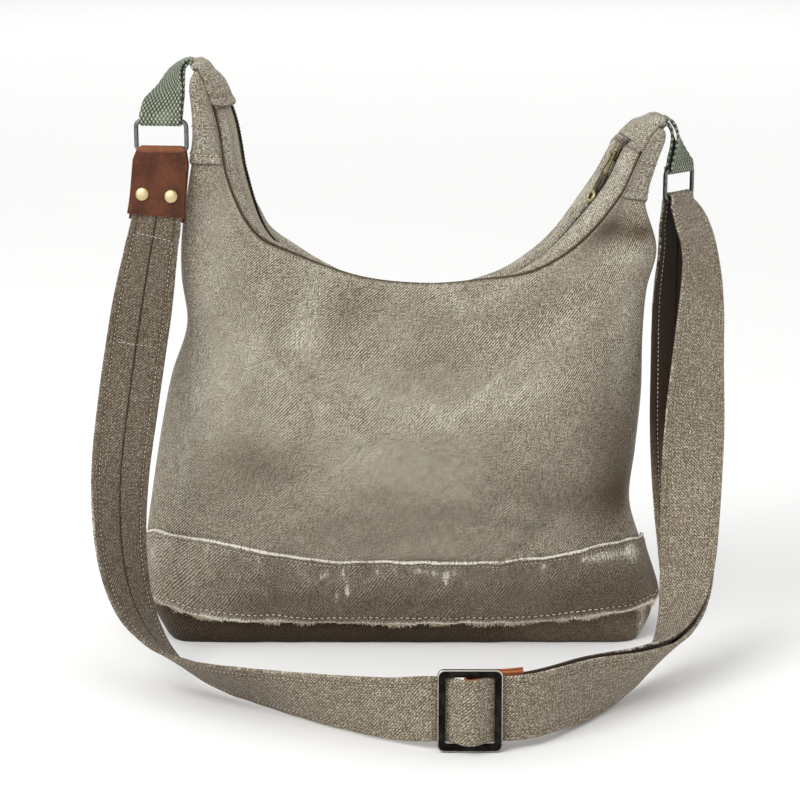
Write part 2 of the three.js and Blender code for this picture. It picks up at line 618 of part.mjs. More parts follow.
const rivetProfile = [
  new THREE.Vector2(0, -rivetSeat - 1.2),
  new THREE.Vector2(RIVET.back, -rivetSeat - 1.2),
  new THREE.Vector2(RIVET.back, -rivetSeat),
  new THREE.Vector2(RIVET.post, -rivetSeat),
  new THREE.Vector2(RIVET.post, rivetSeat),
  new THREE.Vector2(RIVET.cap, rivetSeat),
  ...dome,
];
const rivet = new THREE.LatheGeometry(rivetProfile, 12);
const rivetHole = new THREE.CylinderGeometry(RIVET.post + 0.2, RIVET.post + 0.2, 20, 10);
const holes = [-1, 1].map((side) => onRivet(rivetHole, side));
piece('leather_tab', cut(sheet(tabGrid, TAB.thick), holes), leather);
piece('left_rivet', onRivet(rivet, -1), brass);
piece('right_rivet', onRivet(rivet, 1), brass);

// Slide buckle standing on its lower edge, with the leather keeper round its centre bar
const lean = THREE.MathUtils.degToRad(BUCKLE_LEAN);
const buckleUp = V(0, Math.sin(lean), Math.cos(lean));
const buckleOut = V(0, -Math.cos(lean), Math.sin(lean));
const onBuckle = (along, out) => BUCKLE_AT.clone().add(V(along, 0, 0)).addScaledVector(buckleOut, out);
const outline = (left, right, rise, radius) => roundedOutline((right - left) / 2, rise, radius, 3)
  .map(([a, b]) => new THREE.Vector2(a + (left + right) / 2, b));
const frameHalf = BUCKLE.long / 2;
const frameShape = new THREE.Shape(outline(-frameHalf, frameHalf, BUCKLE.tall / 2, BUCKLE.corner));
const slotNear = BUCKLE.centre / 2;
const slotFar = frameHalf - BUCKLE.bar;
for (const [left, right] of [[-slotFar, -slotNear], [slotNear, slotFar]]) {
  frameShape.holes.push(new THREE.Path(outline(left, right, BUCKLE.tall / 2 - BUCKLE.bar, 1.5)));
}
const buckle = new THREE.ExtrudeGeometry(frameShape, { depth: BUCKLE.thick, bevelEnabled: false })
  .translate(0, 0, -BUCKLE.thick / 2)
  .applyMatrix4(new THREE.Matrix4().makeBasis(V(1, 0, 0), buckleUp, buckleOut))
  .translate(BUCKLE_AT.x, BUCKLE_AT.y, BUCKLE_AT.z);
piece('slide_buckle', buckle, steel);

// The strap runs behind both side bars and over the keeper on the centre bar.
const barClear = Math.hypot(BUCKLE.centre, BUCKLE.thick) / 2 + GAP + KEEPER.thick / 2;
const behindBar = -(BUCKLE.thick + STRAP.thick) / 2 - GAP - 0.2;
const overBar = barClear + (KEEPER.thick + STRAP.thick) / 2 + GAP;
// Past the right bar the strap bends back, and the keeper and the strap end lie behind it in layers.
const BEND_FROM = 16.2;
const layerStep = (STRAP.thick + KEEPER.thick) / 2 + GAP;
const behindStrap = (along, layers) => {
  const past = Math.max(0, along - BEND_FROM);
  const slant = Math.hypot(1, 2 * STRAP_BEND * past);
  return { along, out: behindBar - STRAP_BEND * past * past - layers * layerStep * slant };
};
const THROUGH_BUCKLE = [
  { along: -27, out: behindBar },
  { along: -BEND_FROM, out: behindBar - 0.4 },
  { along: -8.2, out: 0.9 },
  { along: -3, out: overBar },
  { along: 3, out: overBar },
  { along: 8.2, out: 0.9 },
  { along: BEND_FROM, out: behindBar - 0.4 },
  ...[25, 34, 45].map((along) => behindStrap(along, 0)),
];
const KEEPER_FRONT = [
  { along: 3.4, out: barClear - 0.8 },
  { along: 8.6, out: -2.4 },
  ...[BEND_FROM, 21, 28].map((along) => behindStrap(along, 1.2)),
];
const KEEPER_BACK = [
  { along: 3.4, out: -barClear - 1 },
  { along: 8.6, out: -barClear - 5 },
  ...[BEND_FROM, 21, 28].map((along) => behindStrap(along, 3.4)),
];
const returnEnd = [50, 38, 28, 17].map((along) => behindStrap(along, 2.3));
const inBuckle = (rows) => rows.map(({ along, out }) => {
  const at = onBuckle(along, out);
  return { x: at.x, y: at.y, z: at.z, wx: buckleUp.x, wy: buckleUp.y, wz: buckleUp.z };
});
const bar = onBuckle(0, 0);
piece('buckle_keeper', strip([
  ...stations(inBuckle(KEEPER_FRONT), 3).reverse(),
  ...roundBar(bar, buckleOut, V(-1, 0, 0), barClear, buckleUp),
  ...stations(inBuckle(KEEPER_BACK), 3),
], KEEPER.width, KEEPER.thick), leather);

// The strap in one piece: tab, left stretch, buckle, outer stretch, ring, return stretch, keeper
const strapRadius = RING.wire / 2 + GAP + STRAP.thick / 2;
const inTab = [5, 18, 32, 48].map((down) => {
  const at = onTab(down, 0);
  return { x: at.x, y: at.y, z: at.z, wx: -tabAcross.x, wy: -tabAcross.y, wz: -tabAcross.z };
});
const ringSeat = (side, down) => {
  const at = rightRing.low.clone().addScaledVector(rightRing.out, side * strapRadius);
  return { x: at.x, y: at.y, z: at.z - down, wx: rightRing.across.x, wy: rightRing.across.y, wz: 0 };
};
// The strap gathers where it passes the right ring, and less where the tab holds it.
const gather = (station) => {
  const away = station.at.distanceTo(rightRing.low);
  const belowTab = station.at.distanceTo(leftRing.low) - TAB.front;
  const open = Math.sin(clamp((away - 3) / STRAP.opens) * Math.PI / 2);
  const wide = mix(STRAP.inTab, STRAP.width, smooth(clamp(belowTab / 70)));
  return { ...station, narrow: mix(STRAP.gathered, wide, open) / STRAP.width };
};
const strapReturn = alongside(stations(STRAP_OUTER, 1), 1).reverse();
const strapStations = [
  ...stations([...inTab, ...STRAP_LEFT, ...inBuckle(THROUGH_BUCKLE), ...STRAP_OUTER, ringSeat(-1, 4)], 3),
  ...roundBar(rightRing.low, rightRing.out.clone().negate(), V(0, 0, 1), strapRadius, rightRing.across),
  ...stations([ringSeat(1, 4), ...strapReturn, ...inBuckle(returnEnd)], 3),
].map(gather);
piece('strap', cut(strip(strapStations, STRAP.width, STRAP.thick), holes), canvas);

// Zip slider with its crown, and the pull that hangs from it and lies down the zip
const slide = mouth(SLIDER.at);
const uphill = V(slide.out.z, 0, -slide.out.x);
const onZip = new THREE.Matrix4().makeBasis(uphill, V(0, 1, 0), V().crossVectors(uphill, V(0, 1, 0)));
const turnedOut = V().crossVectors(uphill, V(0, 1, 0)).dot(slide.out) < 0 ? -1 : 1;
const sliderBase = CHAIN.above + GAP;
const pinRise = sliderBase + SLIDER.thick + SLIDER.crownTall / 2;
const place = (geometry) => geometry.applyMatrix4(onZip)
  .translate(slide.zip.x, slide.zip.y, slide.zip.z);
const box = (long, wide, tall, x, n) => new THREE.BoxGeometry(long, wide, tall)
  .translate(x, 0, n * turnedOut);
const crownTop = sliderBase + SLIDER.thick + SLIDER.crownTall;
piece('zip_slider', place(join([
  box(SLIDER.long, SLIDER.half * 2, SLIDER.thick, 0, sliderBase + SLIDER.thick / 2),
  box(1.6, SLIDER.crown, SLIDER.crownTall + 1, 4, pinRise - 0.5),
  box(1.6, SLIDER.crown, SLIDER.crownTall + 1, -4, pinRise - 0.5),
  box(9.6, SLIDER.crown, 1.3, 0, crownTop + 0.65),
])), antique);

// Outline of the pull from the middle of its pin at 0 down to its eyelet, with its open frame.
function pullShape() {
  const { frame, half, side, bar: barHalf, eye, hole, long } = PULL;
  const pin = PULL.thick / 2;
  const eyeMiddle = long - eye;
  const meet = Math.acos(barHalf / eye);
  const shape = new THREE.Shape();
  shape.moveTo(-pin, -half);
  shape.lineTo(frame - 1.5, -half);
  shape.lineTo(frame, -barHalf);
  shape.lineTo(eyeMiddle - eye * Math.sin(meet), -barHalf);
  shape.absarc(eyeMiddle, 0, eye, -Math.PI / 2 - meet, Math.PI / 2 + meet, false);
  shape.lineTo(frame, barHalf);
  shape.lineTo(frame - 1.5, half);
  shape.lineTo(-pin, half);
  shape.closePath();
  const window = new THREE.Path();
  const inner = half - side;
  window.setFromPoints([[pin, -inner], [pin, inner], [frame - 3, inner], [frame - 3, -inner]]
    .map(([x, y]) => new THREE.Vector2(x, y)));
  shape.holes.push(window, new THREE.Path().absarc(eyeMiddle, 0, hole, 0, Math.PI * 2, true));
  return shape;
}
const PULL_LIFT = 4; // degrees that the lying pull stands off the slope of the zip
const pullPlate = { depth: PULL.thick, bevelEnabled: false, curveSegments: 6 };
const pull = new THREE.ExtrudeGeometry(pullShape(), pullPlate)
  .translate(0, 0, -PULL.thick / 2)
  .rotateZ(Math.PI)
  .rotateY(turnedOut * THREE.MathUtils.degToRad(PULL_LIFT))
  .translate(0, 0, turnedOut * pinRise);
piece('zip_pull', place(pull), antique);

export default bag;
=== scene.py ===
"""The washed canvas crossbody bag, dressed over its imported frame. Shapes are in millimetres."""
import logging
import math
from collections.abc import Callable
from dataclasses import dataclass, field
from enum import Enum
from typing import NamedTuple

import bpy
import numpy as np
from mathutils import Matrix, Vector


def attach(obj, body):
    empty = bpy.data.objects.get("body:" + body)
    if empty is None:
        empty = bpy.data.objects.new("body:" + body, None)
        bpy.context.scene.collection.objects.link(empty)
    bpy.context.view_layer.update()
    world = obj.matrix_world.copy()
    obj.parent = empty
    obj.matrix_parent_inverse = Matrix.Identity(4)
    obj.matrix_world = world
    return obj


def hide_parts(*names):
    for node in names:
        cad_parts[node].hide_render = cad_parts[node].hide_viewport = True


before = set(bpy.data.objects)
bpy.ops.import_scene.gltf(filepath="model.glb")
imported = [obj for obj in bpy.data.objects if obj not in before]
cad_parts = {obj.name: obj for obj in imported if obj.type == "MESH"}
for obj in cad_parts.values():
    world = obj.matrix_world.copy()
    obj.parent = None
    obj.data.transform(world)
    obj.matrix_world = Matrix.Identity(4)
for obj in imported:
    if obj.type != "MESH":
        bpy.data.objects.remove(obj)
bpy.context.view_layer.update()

Array = np.ndarray
Colour = tuple[float, float, float]
log = logging.getLogger("bag")
MM = 0.001
X_AXIS, Y_AXIS, Z_AXIS = np.eye(3)


class Body(Enum):
    """The bodies that pieces ride on."""

    BAG = "bag"
    PULL = "zip_pull"


class Slot(Enum):
    """The record's finishes."""

    CANVAS = "canvas"
    BASE = "base_canvas"
    TAPE = "zip_tape"
    ZIP = "zip_metal"
    WEBBING = "webbing"
    STEEL = "dark_steel"
    LEATHER = "leather"
    BRASS = "rivet_brass"


# Numbers and paths


def unit(vectors: Array) -> Array:
    """Vectors divided by their lengths."""
    return vectors / np.linalg.norm(vectors, axis=-1, keepdims=True).clip(1e-9)


def ramp(value: Array | float, low: float, high: float) -> Array:
    """A smooth step from 0 at low to 1 at high."""
    share = np.clip((value - low) / (high - low), 0.0, 1.0)
    return share * share * (3.0 - 2.0 * share)


def mix(a: Array | float, b: Array | float, share: Array | float) -> Array:
    """The value that lies at share of the way from a to b."""
    return a + (b - a) * share


def bell(value: Array, middle: float, width: float) -> Array:
    """A bell curve of height 1 about middle."""
    return np.exp(-(((value - middle) / width) ** 2))


def spread(count: int, reach: float) -> Array:
    """Places from -reach to reach that crowd towards both ends, as a sine does."""
    return reach * np.sin(np.linspace(-1.0, 1.0, count + 1) * math.pi / 2)


def edged(low: float, high: float, count: int, soft: float) -> Array:
    """Even places from low to high with four more inside each end, within soft of it."""
    near = np.array([0.08, 0.25, 0.5, 0.8]) * soft
    inner = np.linspace(low + soft, high - soft, count)
    return np.concatenate([[low], low + near, inner, (high - near)[::-1], [high]])


def cubic(keys: Array, values: Array, at: Array) -> Array:
    """Every column of values at the keys `at`.

    Each span is a cubic through its two rows. A row's slope is the slope between its neighbours.

    Args:
        keys: rising keys, one for each row.
        values: rows of columns.
        at: the keys to read, of any shape.

    Returns:
        An array of the shape of `at`, with the columns last.
    """
    ends = np.arange(len(keys))
    before, after = np.maximum(0, ends - 1), np.minimum(len(keys) - 1, ends + 1)
    slopes = (values[after] - values[before]) / (keys[after] - keys[before])[:, None]
    i = np.clip(np.searchsorted(keys, at, side="left") - 1, 0, len(keys) - 2)
    span = (keys[i + 1] - keys[i])[..., None]
    share = (at - keys[i])[..., None] / span
    rise = values[i + 1] - values[i]
    a = slopes[i] * span - rise
    b = rise - slopes[i + 1] * span
    return values[i] + rise * share + share * (1 - share) * (a * (1 - share) + b * share)


class Table:
    """Columns of given values against a key in the first column."""

    def __init__(self, names: str, *rows: tuple[float, ...]) -> None:
        """Keeps the columns' names, apart by spaces, and the rows."""
        self.names = names.split()[1:]
        self.rows = np.array(rows, float)

    def at(self, key: Array | float) -> dict[str, Array]:
        """Every column on a smooth cubic at the key."""
        read = cubic(self.rows[:, 0], self.rows[:, 1:], np.asarray(key, float))
        return {name: read[..., k] for k, name in enumerate(self.names)}


def circle(count: int) -> tuple[Array, Array]:
    """The cosines and sines of that many even angles round a circle."""
    angle = np.arange(count) * 2 * math.pi / count
    return np.cos(angle), np.sin(angle)


def run_along(points: Array, axis: int = 0) -> Array:
    """Arc length from the first point, along one axis of a path or grid."""
    steps = np.diff(points, axis=axis, prepend=np.take(points, [0], axis=axis))
    return np.linalg.norm(steps, axis=-1).cumsum(axis=axis)


def loop_tangent(path: Array) -> Array:
    """Unit tangents of a path that closes on itself."""
    return unit(np.roll(path, -1, axis=0) - np.roll(path, 1, axis=0))


def resample(path: Array, pitch: float) -> tuple[Array, Array]:
    """Even places along a path.

    Args:
        path: N x 3 points.
        pitch: the distance between places.

    Returns:
        The place of each as a fractional row of the path, and the unit tangents there.
    """
    run = run_along(path)
    marks = np.arange(pitch * 0.6, run[-1] - pitch * 0.4, pitch)
    rows = np.interp(marks, run, np.arange(len(path)))
    return rows, unit(at_rows(np.gradient(path, axis=0), rows))


def at_rows(values: Array, rows: Array) -> Array:
    """Values read at fractional rows, straight between neighbours."""
    low = np.clip(rows.astype(int), 0, len(values) - 2)
    return mix(values[low], values[low + 1], (rows - low)[:, None])


# Meshes


@dataclass
class Form:
    """A mesh in the making.

    Attributes:
        points: N x 3, in millimetres.
        faces: arrays of corner numbers, each array with faces of one size.
        flat: N x 2, millimetres across and along the cloth.
        wear_and_highlight: N, from 0 where sound to 1 where worn pale, and where a highlight is
            painted.
        grime_and_shade: N, from 0 where clean to 1 where dark, with grime and with painted shade.
    """

    points: Array
    faces: list[Array]
    flat: Array
    wear_and_highlight: Array
    grime_and_shade: Array

    @staticmethod
    def made(points: Array, faces: list[Array], flat: Array | None = None,
             wear_and_highlight: Array | float = 0.0, grime_and_shade: Array | float = 0.0) -> "Form":
        """A form turned so that its faces point outwards.

        Args:
            points: the points.
            faces: the face arrays.
            flat: the flat map, or None for x and z.
            wear_and_highlight: wear and painted highlight at each point, or everywhere.
            grime_and_shade: grime and painted shade at each point, or everywhere.

        Returns:
            The form, with the faces reversed where they enclose a negative volume.
        """
        volume = sum(float(np.einsum("ij,ij->", points[f[:, 0]],
                                     np.cross(points[f[:, k]], points[f[:, k + 1]])))
                     for f in faces for k in range(1, f.shape[1] - 1))
        if volume < 0:
            faces = [f[:, ::-1] for f in faces]
        count = len(points)
        flat = points[:, [0, 2]] if flat is None else flat
        return Form(points, faces, flat, np.broadcast_to(wear_and_highlight, count).astype(float),
                    np.broadcast_to(grime_and_shade, count).astype(float))

    @staticmethod
    def shell(grid: Array, normals: Array, low: Array | float, high: Array | float,
              wear_and_highlight: Array | float = 0.0, grime_and_shade: Array | float = 0.0,
              flat: Array | None = None) -> "Form":
        """A closed wall whose two faces stand `low` and `high` off a grid along its normals.

        Args:
            grid: rows x columns x 3.
            normals: unit normals of the grid.
            low: offset of the under face, one value or one for each point.
            high: offset of the upper face.
            wear_and_highlight: wear and painted highlight on the grid, or on the upper and under
                face in turn.
            grime_and_shade: grime and painted shade in the same way.
            flat: the grid's flat map, or None for arc length across and along the grid.

        Returns:
            The wall.
        """
        rows, columns = grid.shape[:2]
        count = rows * columns
        layers = [grid + normals * np.broadcast_to(off, (rows, columns))[..., None]
                  for off in (high, low)]
        points = np.concatenate([layer.reshape(-1, 3) for layer in layers])
        index = np.arange(count).reshape(rows, columns)
        quads = grid_quads(index)
        rim = np.concatenate([index[0, :-1], index[:-1, -1], index[-1, :0:-1], index[:0:-1, 0]])
        after = np.roll(rim, -1)
        sides = np.stack([after, rim, rim + count, after + count], axis=1)
        flat = np.tile((flat_map(grid) if flat is None else flat).reshape(-1, 2), (2, 1))
        spread_out = [np.broadcast_to(v, (2, rows, columns)).ravel() for v in (wear_and_highlight, grime_and_shade)]
        return Form.made(points, [quads, quads[:, ::-1] + count, sides], flat, *spread_out)

    @staticmethod
    def tube(rings: Array, closed: bool = False, wear_and_highlight: Array | float = 0.0) -> "Form":
        """A body through rings of points, capped unless it closes on itself.

        Args:
            rings: rings x points x 3.
            closed: whether the last ring joins the first.
            wear_and_highlight: wear and painted highlight on the rings.

        Returns:
            The body.
        """
        count, around = rings.shape[:2]
        lightened = np.broadcast_to(wear_and_highlight, (count, around)).ravel()
        return Form.made(rings.reshape(-1, 3), tube_faces(count, around, closed), wear_and_highlight=lightened)

    @staticmethod
    def copies(points: Array, faces: list[Array], wear_and_highlight: Array | float = 0.0) -> "Form":
        """Many copies of one small body: points is copies x points x 3, faces are of the first."""
        count, each = points.shape[:2]
        shift = (np.arange(count) * each)[:, None, None]
        spread_out = [(f[None] + shift).reshape(-1, f.shape[1]) for f in faces]
        return Form.made(points.reshape(-1, 3), spread_out, wear_and_highlight=wear_and_highlight)

    def __add__(self, other: "Form") -> "Form":
        """Both forms as one."""
        moved = [f + len(self.points) for f in other.faces]
        return Form(np.concatenate([self.points, other.points]), self.faces + moved,
                    np.concatenate([self.flat, other.flat]),
                    np.concatenate([self.wear_and_highlight, other.wear_and_highlight]),
                    np.concatenate([self.grime_and_shade, other.grime_and_shade]))

    def piece(self, name: str, material: bpy.types.Material, slot: Slot, extra: bool = False,
              body: Body = Body.BAG, sharp: float = 50.0) -> None:
        """Makes the form an object of the scene, at the origin, with nothing below the floor.

        Args:
            name: the CAD node that it stands for, or its own name where it is extra.
            material: its finish.
            slot: the record's finish that it takes; not used.
            extra: whether it stands for no CAD node.
            body: the body that it rides on.
            sharp: degrees past which an edge stays sharp.
        """
        label = name if extra else f"dressed_{name}"
        mesh = bpy.data.meshes.new(label)
        points = np.maximum(self.points, [-np.inf, -np.inf, 0.0])
        corners = np.concatenate([f.ravel() for f in self.faces])
        sizes = np.concatenate([np.full(len(f), f.shape[1]) for f in self.faces])
        mesh.vertices.add(len(points))
        mesh.vertices.foreach_set("co", (points * MM).astype(np.float32).ravel())
        mesh.loops.add(len(corners))
        mesh.loops.foreach_set("vertex_index", corners.astype(np.int32))
        mesh.polygons.add(len(sizes))
        mesh.polygons.foreach_set("loop_start", (np.cumsum(sizes) - sizes).astype(np.int32))
        mesh.update(calc_edges=True)
        layer = mesh.uv_layers.new(name="cloth")
        layer.uv.foreach_set("vector", self.flat[corners].astype(np.float32).ravel())
        for attribute, values in (("wear_and_highlight", self.wear_and_highlight), ("grime_and_shade", self.grime_and_shade)):
            mesh.attributes.new(attribute, "FLOAT", "POINT").data.foreach_set(
                "value", values.astype(np.float32))
        mesh.shade_smooth()
        mesh.set_sharp_from_angle(angle=math.radians(sharp))
        mesh.materials.append(material)
        made = bpy.data.objects.new(label, mesh)
        bpy.context.scene.collection.objects.link(made)
        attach(made, body.value)
        if not extra:
            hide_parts(name)
        log.info("%s: %d points, %d faces", label, len(points), len(sizes))


def grid_quads(index: Array) -> Array:
    """The quads of a grid of corner numbers."""
    quads = np.stack([index[:-1, :-1], index[:-1, 1:], index[1:, 1:], index[1:, :-1]], axis=-1)
    return quads.reshape(-1, 4)


def tube_faces(count: int, around: int, closed: bool = False) -> list[Array]:
    """The faces of rings of corners, capped at both ends unless the last ring joins the first."""
    index = np.arange(count * around).reshape(count, around)
    wall = np.concatenate([index, index[:, :1]], axis=1)
    if closed:
        return [grid_quads(np.concatenate([wall, wall[:1]]))]
    return [grid_quads(wall), index[:1, ::-1], index[-1:]]


def flat_map(grid: Array) -> Array:
    """Arc length across from the middle column and along from the first row, at each grid point."""
    across = run_along(grid, 1)
    middle = grid.shape[1] // 2
    return np.stack([across - across[:, middle:middle + 1], run_along(grid)], axis=-1)


def grid_normals(grid: Array, outward: Array | None = None) -> Array:
    """Unit normals of a grid, the product of its two slopes, turned towards outward if given."""
    normals = unit(np.cross(np.gradient(grid, axis=1), np.gradient(grid, axis=0)))
    if outward is None:
        return normals
    return np.where((normals * outward).sum(axis=-1, keepdims=True) < 0, -normals, normals)


def hem_round(places: Array, radius: float, least: float = 0.2) -> Array:
    """Share of the thickness at each place across a cloth: a quarter circle at both ends."""
    inside = np.minimum(places - places[0], places[-1] - places) / radius
    return np.maximum(least, np.sqrt(1 - (1 - np.clip(inside, 0, 1)) ** 2))


def oval(half_wide: float, half_tall: float, count: int, square: float = 2.0) -> Array:
    """Points of a superellipse: the cosine and sine of each angle, to the power 2 / square."""
    cos, sin = circle(count)
    return np.stack([half_wide * np.sign(cos) * np.abs(cos) ** (2 / square),
                     half_tall * np.sign(sin) * np.abs(sin) ** (2 / square)], axis=1)


def sweep(path: Array, side: Array, up: Array, section: Array, closed: bool = False,
          wear_and_highlight: Array | float = 0.0) -> Form:
    """A section carried along a path.

    Args:
        path: N x 3 points.
        side: the direction of the section's first axis at each point, or one for all.
        up: the direction of its second axis.
        section: M x 2 points, or N x M x 2 where it changes.
        closed: whether the path closes.
        wear_and_highlight: wear and painted highlight on the rings.

    Returns:
        The swept body: each ring is the path point plus the section along side and up.
    """
    section = np.broadcast_to(section, (len(path), *section.shape[-2:]))
    side = np.broadcast_to(side, path.shape)[:, None]
    up = np.broadcast_to(up, path.shape)[:, None]
    return Form.tube(path[:, None] + section[..., :1] * side + section[..., 1:] * up, closed, wear_and_highlight)


def rounded_outline(half: float, rise: float, radius: float, arc: int = 8) -> Array:
    """Points round a rectangle of half width and half height with round corners."""
    angle = (np.arange(4)[:, None] * 90 + np.linspace(0, 90, arc + 1)) * math.pi / 180
    signs = np.array([[1, 1], [-1, 1], [-1, -1], [1, -1]])[:, None]
    turn = np.stack([np.cos(angle), np.sin(angle)], axis=-1)
    return (signs * [half - radius, rise - radius] + radius * turn).reshape(-1, 2)


@dataclass(frozen=True)
class Thread:
    """Sewn stitches: short raised strands laid end to end along a path.

    Attributes:
        length: the length of a stitch.
        gap: the distance between stitches.
        radius: the strand's radius.
    """

    length: float
    gap: float
    radius: float

    def row(self, path: Array, normals: Array) -> Form:
        """Stitches along a path on a surface.

        Each is a strand with a lifted middle, whose radius follows a half ellipse end to end.

        Args:
            path: N x 3 points on the surface.
            normals: the surface's normals there.

        Returns:
            The stitches as one form.
        """
        rows, tangent = resample(path, self.length + self.gap)
        middle = at_rows(path, rows)
        normal = unit(at_rows(normals, rows))
        side = np.cross(normal, tangent)
        along = np.array([-1.0, -0.72, 0.0, 0.72, 1.0])
        cos, sin = circle(5)
        radius = self.radius * np.sqrt(1.02 - along**2)[:, None]
        local = np.stack(np.broadcast_arrays(
            along[:, None] * self.length / 2,
            radius * cos,
            radius * sin + self.radius * (0.75 - 0.9 * along[:, None] ** 2)), axis=-1)
        axes = np.stack([tangent, side, normal], axis=1)
        points = middle[:, None] + np.einsum("pk,nkc->npc", local.reshape(-1, 3), axes)
        return Form.copies(points, tube_faces(len(along), len(cos)))


def joined(forms: list[Form]) -> Form:
    """Several forms as one."""
    whole = forms[0]
    for form in forms[1:]:
        whole = whole + form
    return whole


# Body of the bag


# The mouth from the left tip to the right one: x and z of its edge line, half its depth, and how
# far the zip and the back edge stand out of that line.
MOUTH = Table(
    "s x z y zip back",
    (-1.0, -139, 383, 0, 6, 0), (-0.97, -138, 384, 16.5, 6, 0), (-0.94, -133, 388, 19, 6, 2),
    (-0.86, -122, 356, 18.5, 9.5, 4), (-0.76, -116, 318, 19, 10.5, 4), (-0.62, -99, 282, 18, 5, 5),
    (-0.46, -72, 266, 13, -5, 1), (-0.22, -28, 250, 8, -13, -4), (0.02, 16, 245, 7, -14, -5),
    (0.24, 56, 248, 9, -10, -1), (0.42, 89, 254, 14, 0, 8), (0.58, 119, 273, 18, 8, 14),
    (0.74, 146, 305, 18.5, 10, 18), (0.86, 159, 333, 18.5, 9, 15), (0.94, 170, 351, 19, 6, 7),
    (0.97, 175, 348, 16.5, 6, 0), (1.0, 176, 346, 0, 6, 0),
)
# Both side seams, from the floor to the tips.
SEAMS = Table(
    "t left_x left_z right_x right_z",
    (0.0, -166, 0, 171, 0), (0.06, -177, 21, 179, 20), (0.16, -178, 60, 168, 60),
    (0.25, -173, 98, 159, 92), (0.36, -165, 145, 162, 130), (0.46, -157, 182, 165, 170),
    (0.55, -146, 216, 165, 208), (0.64, -149, 250, 167, 240), (0.72, -148, 280, 173, 268),
    (0.82, -142, 316, 164, 300), (0.9, -137, 346, 167.5, 321), (1.0, -139, 383, 176, 346),
)
# The swell from the floor to the mouth: half its depth and the power of its superellipse.
BELLY = Table(
    "t y square",
    (0, 43, 24), (0.07, 46, 11), (0.2, 50, 4.2), (0.36, 52, 3.2), (0.56, 46, 3), (0.76, 32, 3.6),
    (0.9, 18, 6), (1, 8, 10),
)
# How far the hem's top edge falls below its height, along the front.
HEM_FALL = Table(
    "s fall",
    (-1, 0.052), (-0.9, 0.037), (-0.82, 0.0235), (-0.68, -0.004), (-0.52, -0.0072),
    (-0.345, -0.001), (-0.2, 0.003), (0, 0), (0.25, 0.0047), (0.5, 0.017), (0.75, 0.0358),
    (1, 0.061),
)
# Slack folds: middle x and z, half length, half width, turn in degrees, depth inwards.
FOLDS = np.array([
    (-138, 212, 34, 13, 12, 5), (148, 94, 32, 14, -14, 5), (-92, 236, 46, 12, -52, 3.5),
    (112, 226, 50, 13, 48, 4), (40, 214, 60, 12, 8, 2.5), (-30, 92, 70, 16, -6, 2.5),
])
# Sharper creases in the same columns: a negative depth stands out.
CREASES = np.array([
    (-100, 196, 60, 5, 66, -1.1), (-128, 150, 46, 5, 78, 1.2), (-60, 170, 70, 6, -38, -1.0),
    (-8, 190, 70, 5, 52, -0.9), (34, 150, 64, 6, -48, -1.0), (70, 186, 58, 5, 38, -1.1),
    (104, 130, 52, 5, 64, -1.0), (-44, 128, 54, 5, 24, 1.0), (16, 112, 60, 6, -14, -0.9),
    (126, 186, 44, 5, -62, 1.1), (-150, 104, 40, 5, 82, -1.1), (140, 150, 40, 5, 84, -1.0),
    (-84, 92, 58, 6, 12, 1.0), (84, 94, 60, 6, -16, -0.9), (-20, 226, 56, 5, -12, 0.9),
])
# Rubbed marks on the hem: middle x, height on the band, half width, half height, strength.
HEM_RUBS = np.array([
    (-50, 51, 3, 5, 0.66), (-54, 46, 3, 5, 0.6), (-40, 52, 3, 5, 0.7), (-37, 43, 3, 8, 0.5),
    (-36, 33, 2.4, 6, 0.66), (-43, 30, 2.4, 7, 0.5), (-44, 22, 3, 6, 0.4), (-15, 50, 3, 5, 0.7),
    (-20, 34, 3, 12, 0.35), (-64, 42, 3, 12, 0.4), (-100, 30, 8, 5, 0.4), (-92, 24, 4, 6, 0.4),
    (-142, 34, 4, 12, 0.4), (10, 52, 7, 5, 0.56), (21, 48, 7, 6, 0.52), (31, 43, 2.6, 10, 0.64),
    (36, 51, 6, 5, 0.5), (44, 38, 3, 9, 0.4), (144, 50, 14, 8, 0.52), (158, 44, 8, 12, 0.5),
    (130, 52, 14, 5, 0.45), (-120, 55, 18, 4, 0.3), (-152, 50, 12, 8, 0.3), (-168, 40, 5, 16, 0.5),
    (-96, 52, 1.8, 6, 0.5), (70, 52, 1.8, 6, 0.55), (96, 50, 2, 7, 0.5),
])
# Fading in the columns of the folds: a positive value is bleached pale, a negative one is darker
# and browner.
FADES = np.array([
    (-61, 233, 30, 15, 80, 0.4), (28, 238, 30, 7, -36, 0.4), (66, 238, 30, 7, 24, 0.35),
    (112, 218, 22, 13, 60, 0.35), (116, 254, 16, 9, 40, 0.3), (88, 182, 26, 16, 20, 0.3),
    (52, 166, 44, 12, 14, 0.28), (-14, 172, 40, 13, -24, 0.3), (-146, 158, 60, 12, 82, 0.4),
    (-124, 256, 40, 14, 84, 0.36), (-66, 212, 22, 12, 60, 0.3), (-34, 130, 44, 12, 34, 0.28),
    (-116, 196, 50, 14, 70, 0.3), (8, 130, 60, 12, -8, 0.22), (150, 214, 50, 8, 86, 0.3),
    (-98, 133, 34, 17, -10, -0.34), (-77, 247, 20, 12, 40, -0.2), (-41, 226, 22, 14, 30, -0.26),
    (148, 132, 46, 20, 86, -0.4), (154, 100, 26, 16, 60, -0.3), (141, 284, 12, 8, 20, -0.5),
    (160, 281, 11, 9, 0, -0.6), (128, 274, 16, 9, 40, -0.2), (148, 264, 24, 7, 6, 0.4),
    (104, 106, 50, 14, -6, -0.22), (20, 196, 40, 14, 10, -0.16), (-128, 108, 50, 16, 14, -0.2),
    # The long mark at x 130, z 178 is painted shade: a darker, warmer tone over the right part of
    # the panel.
    (60, 128, 40, 16, -20, -0.16), (130, 178, 110, 34, 88, -0.16), (-20, 86, 150, 16, 2, -0.16),
])


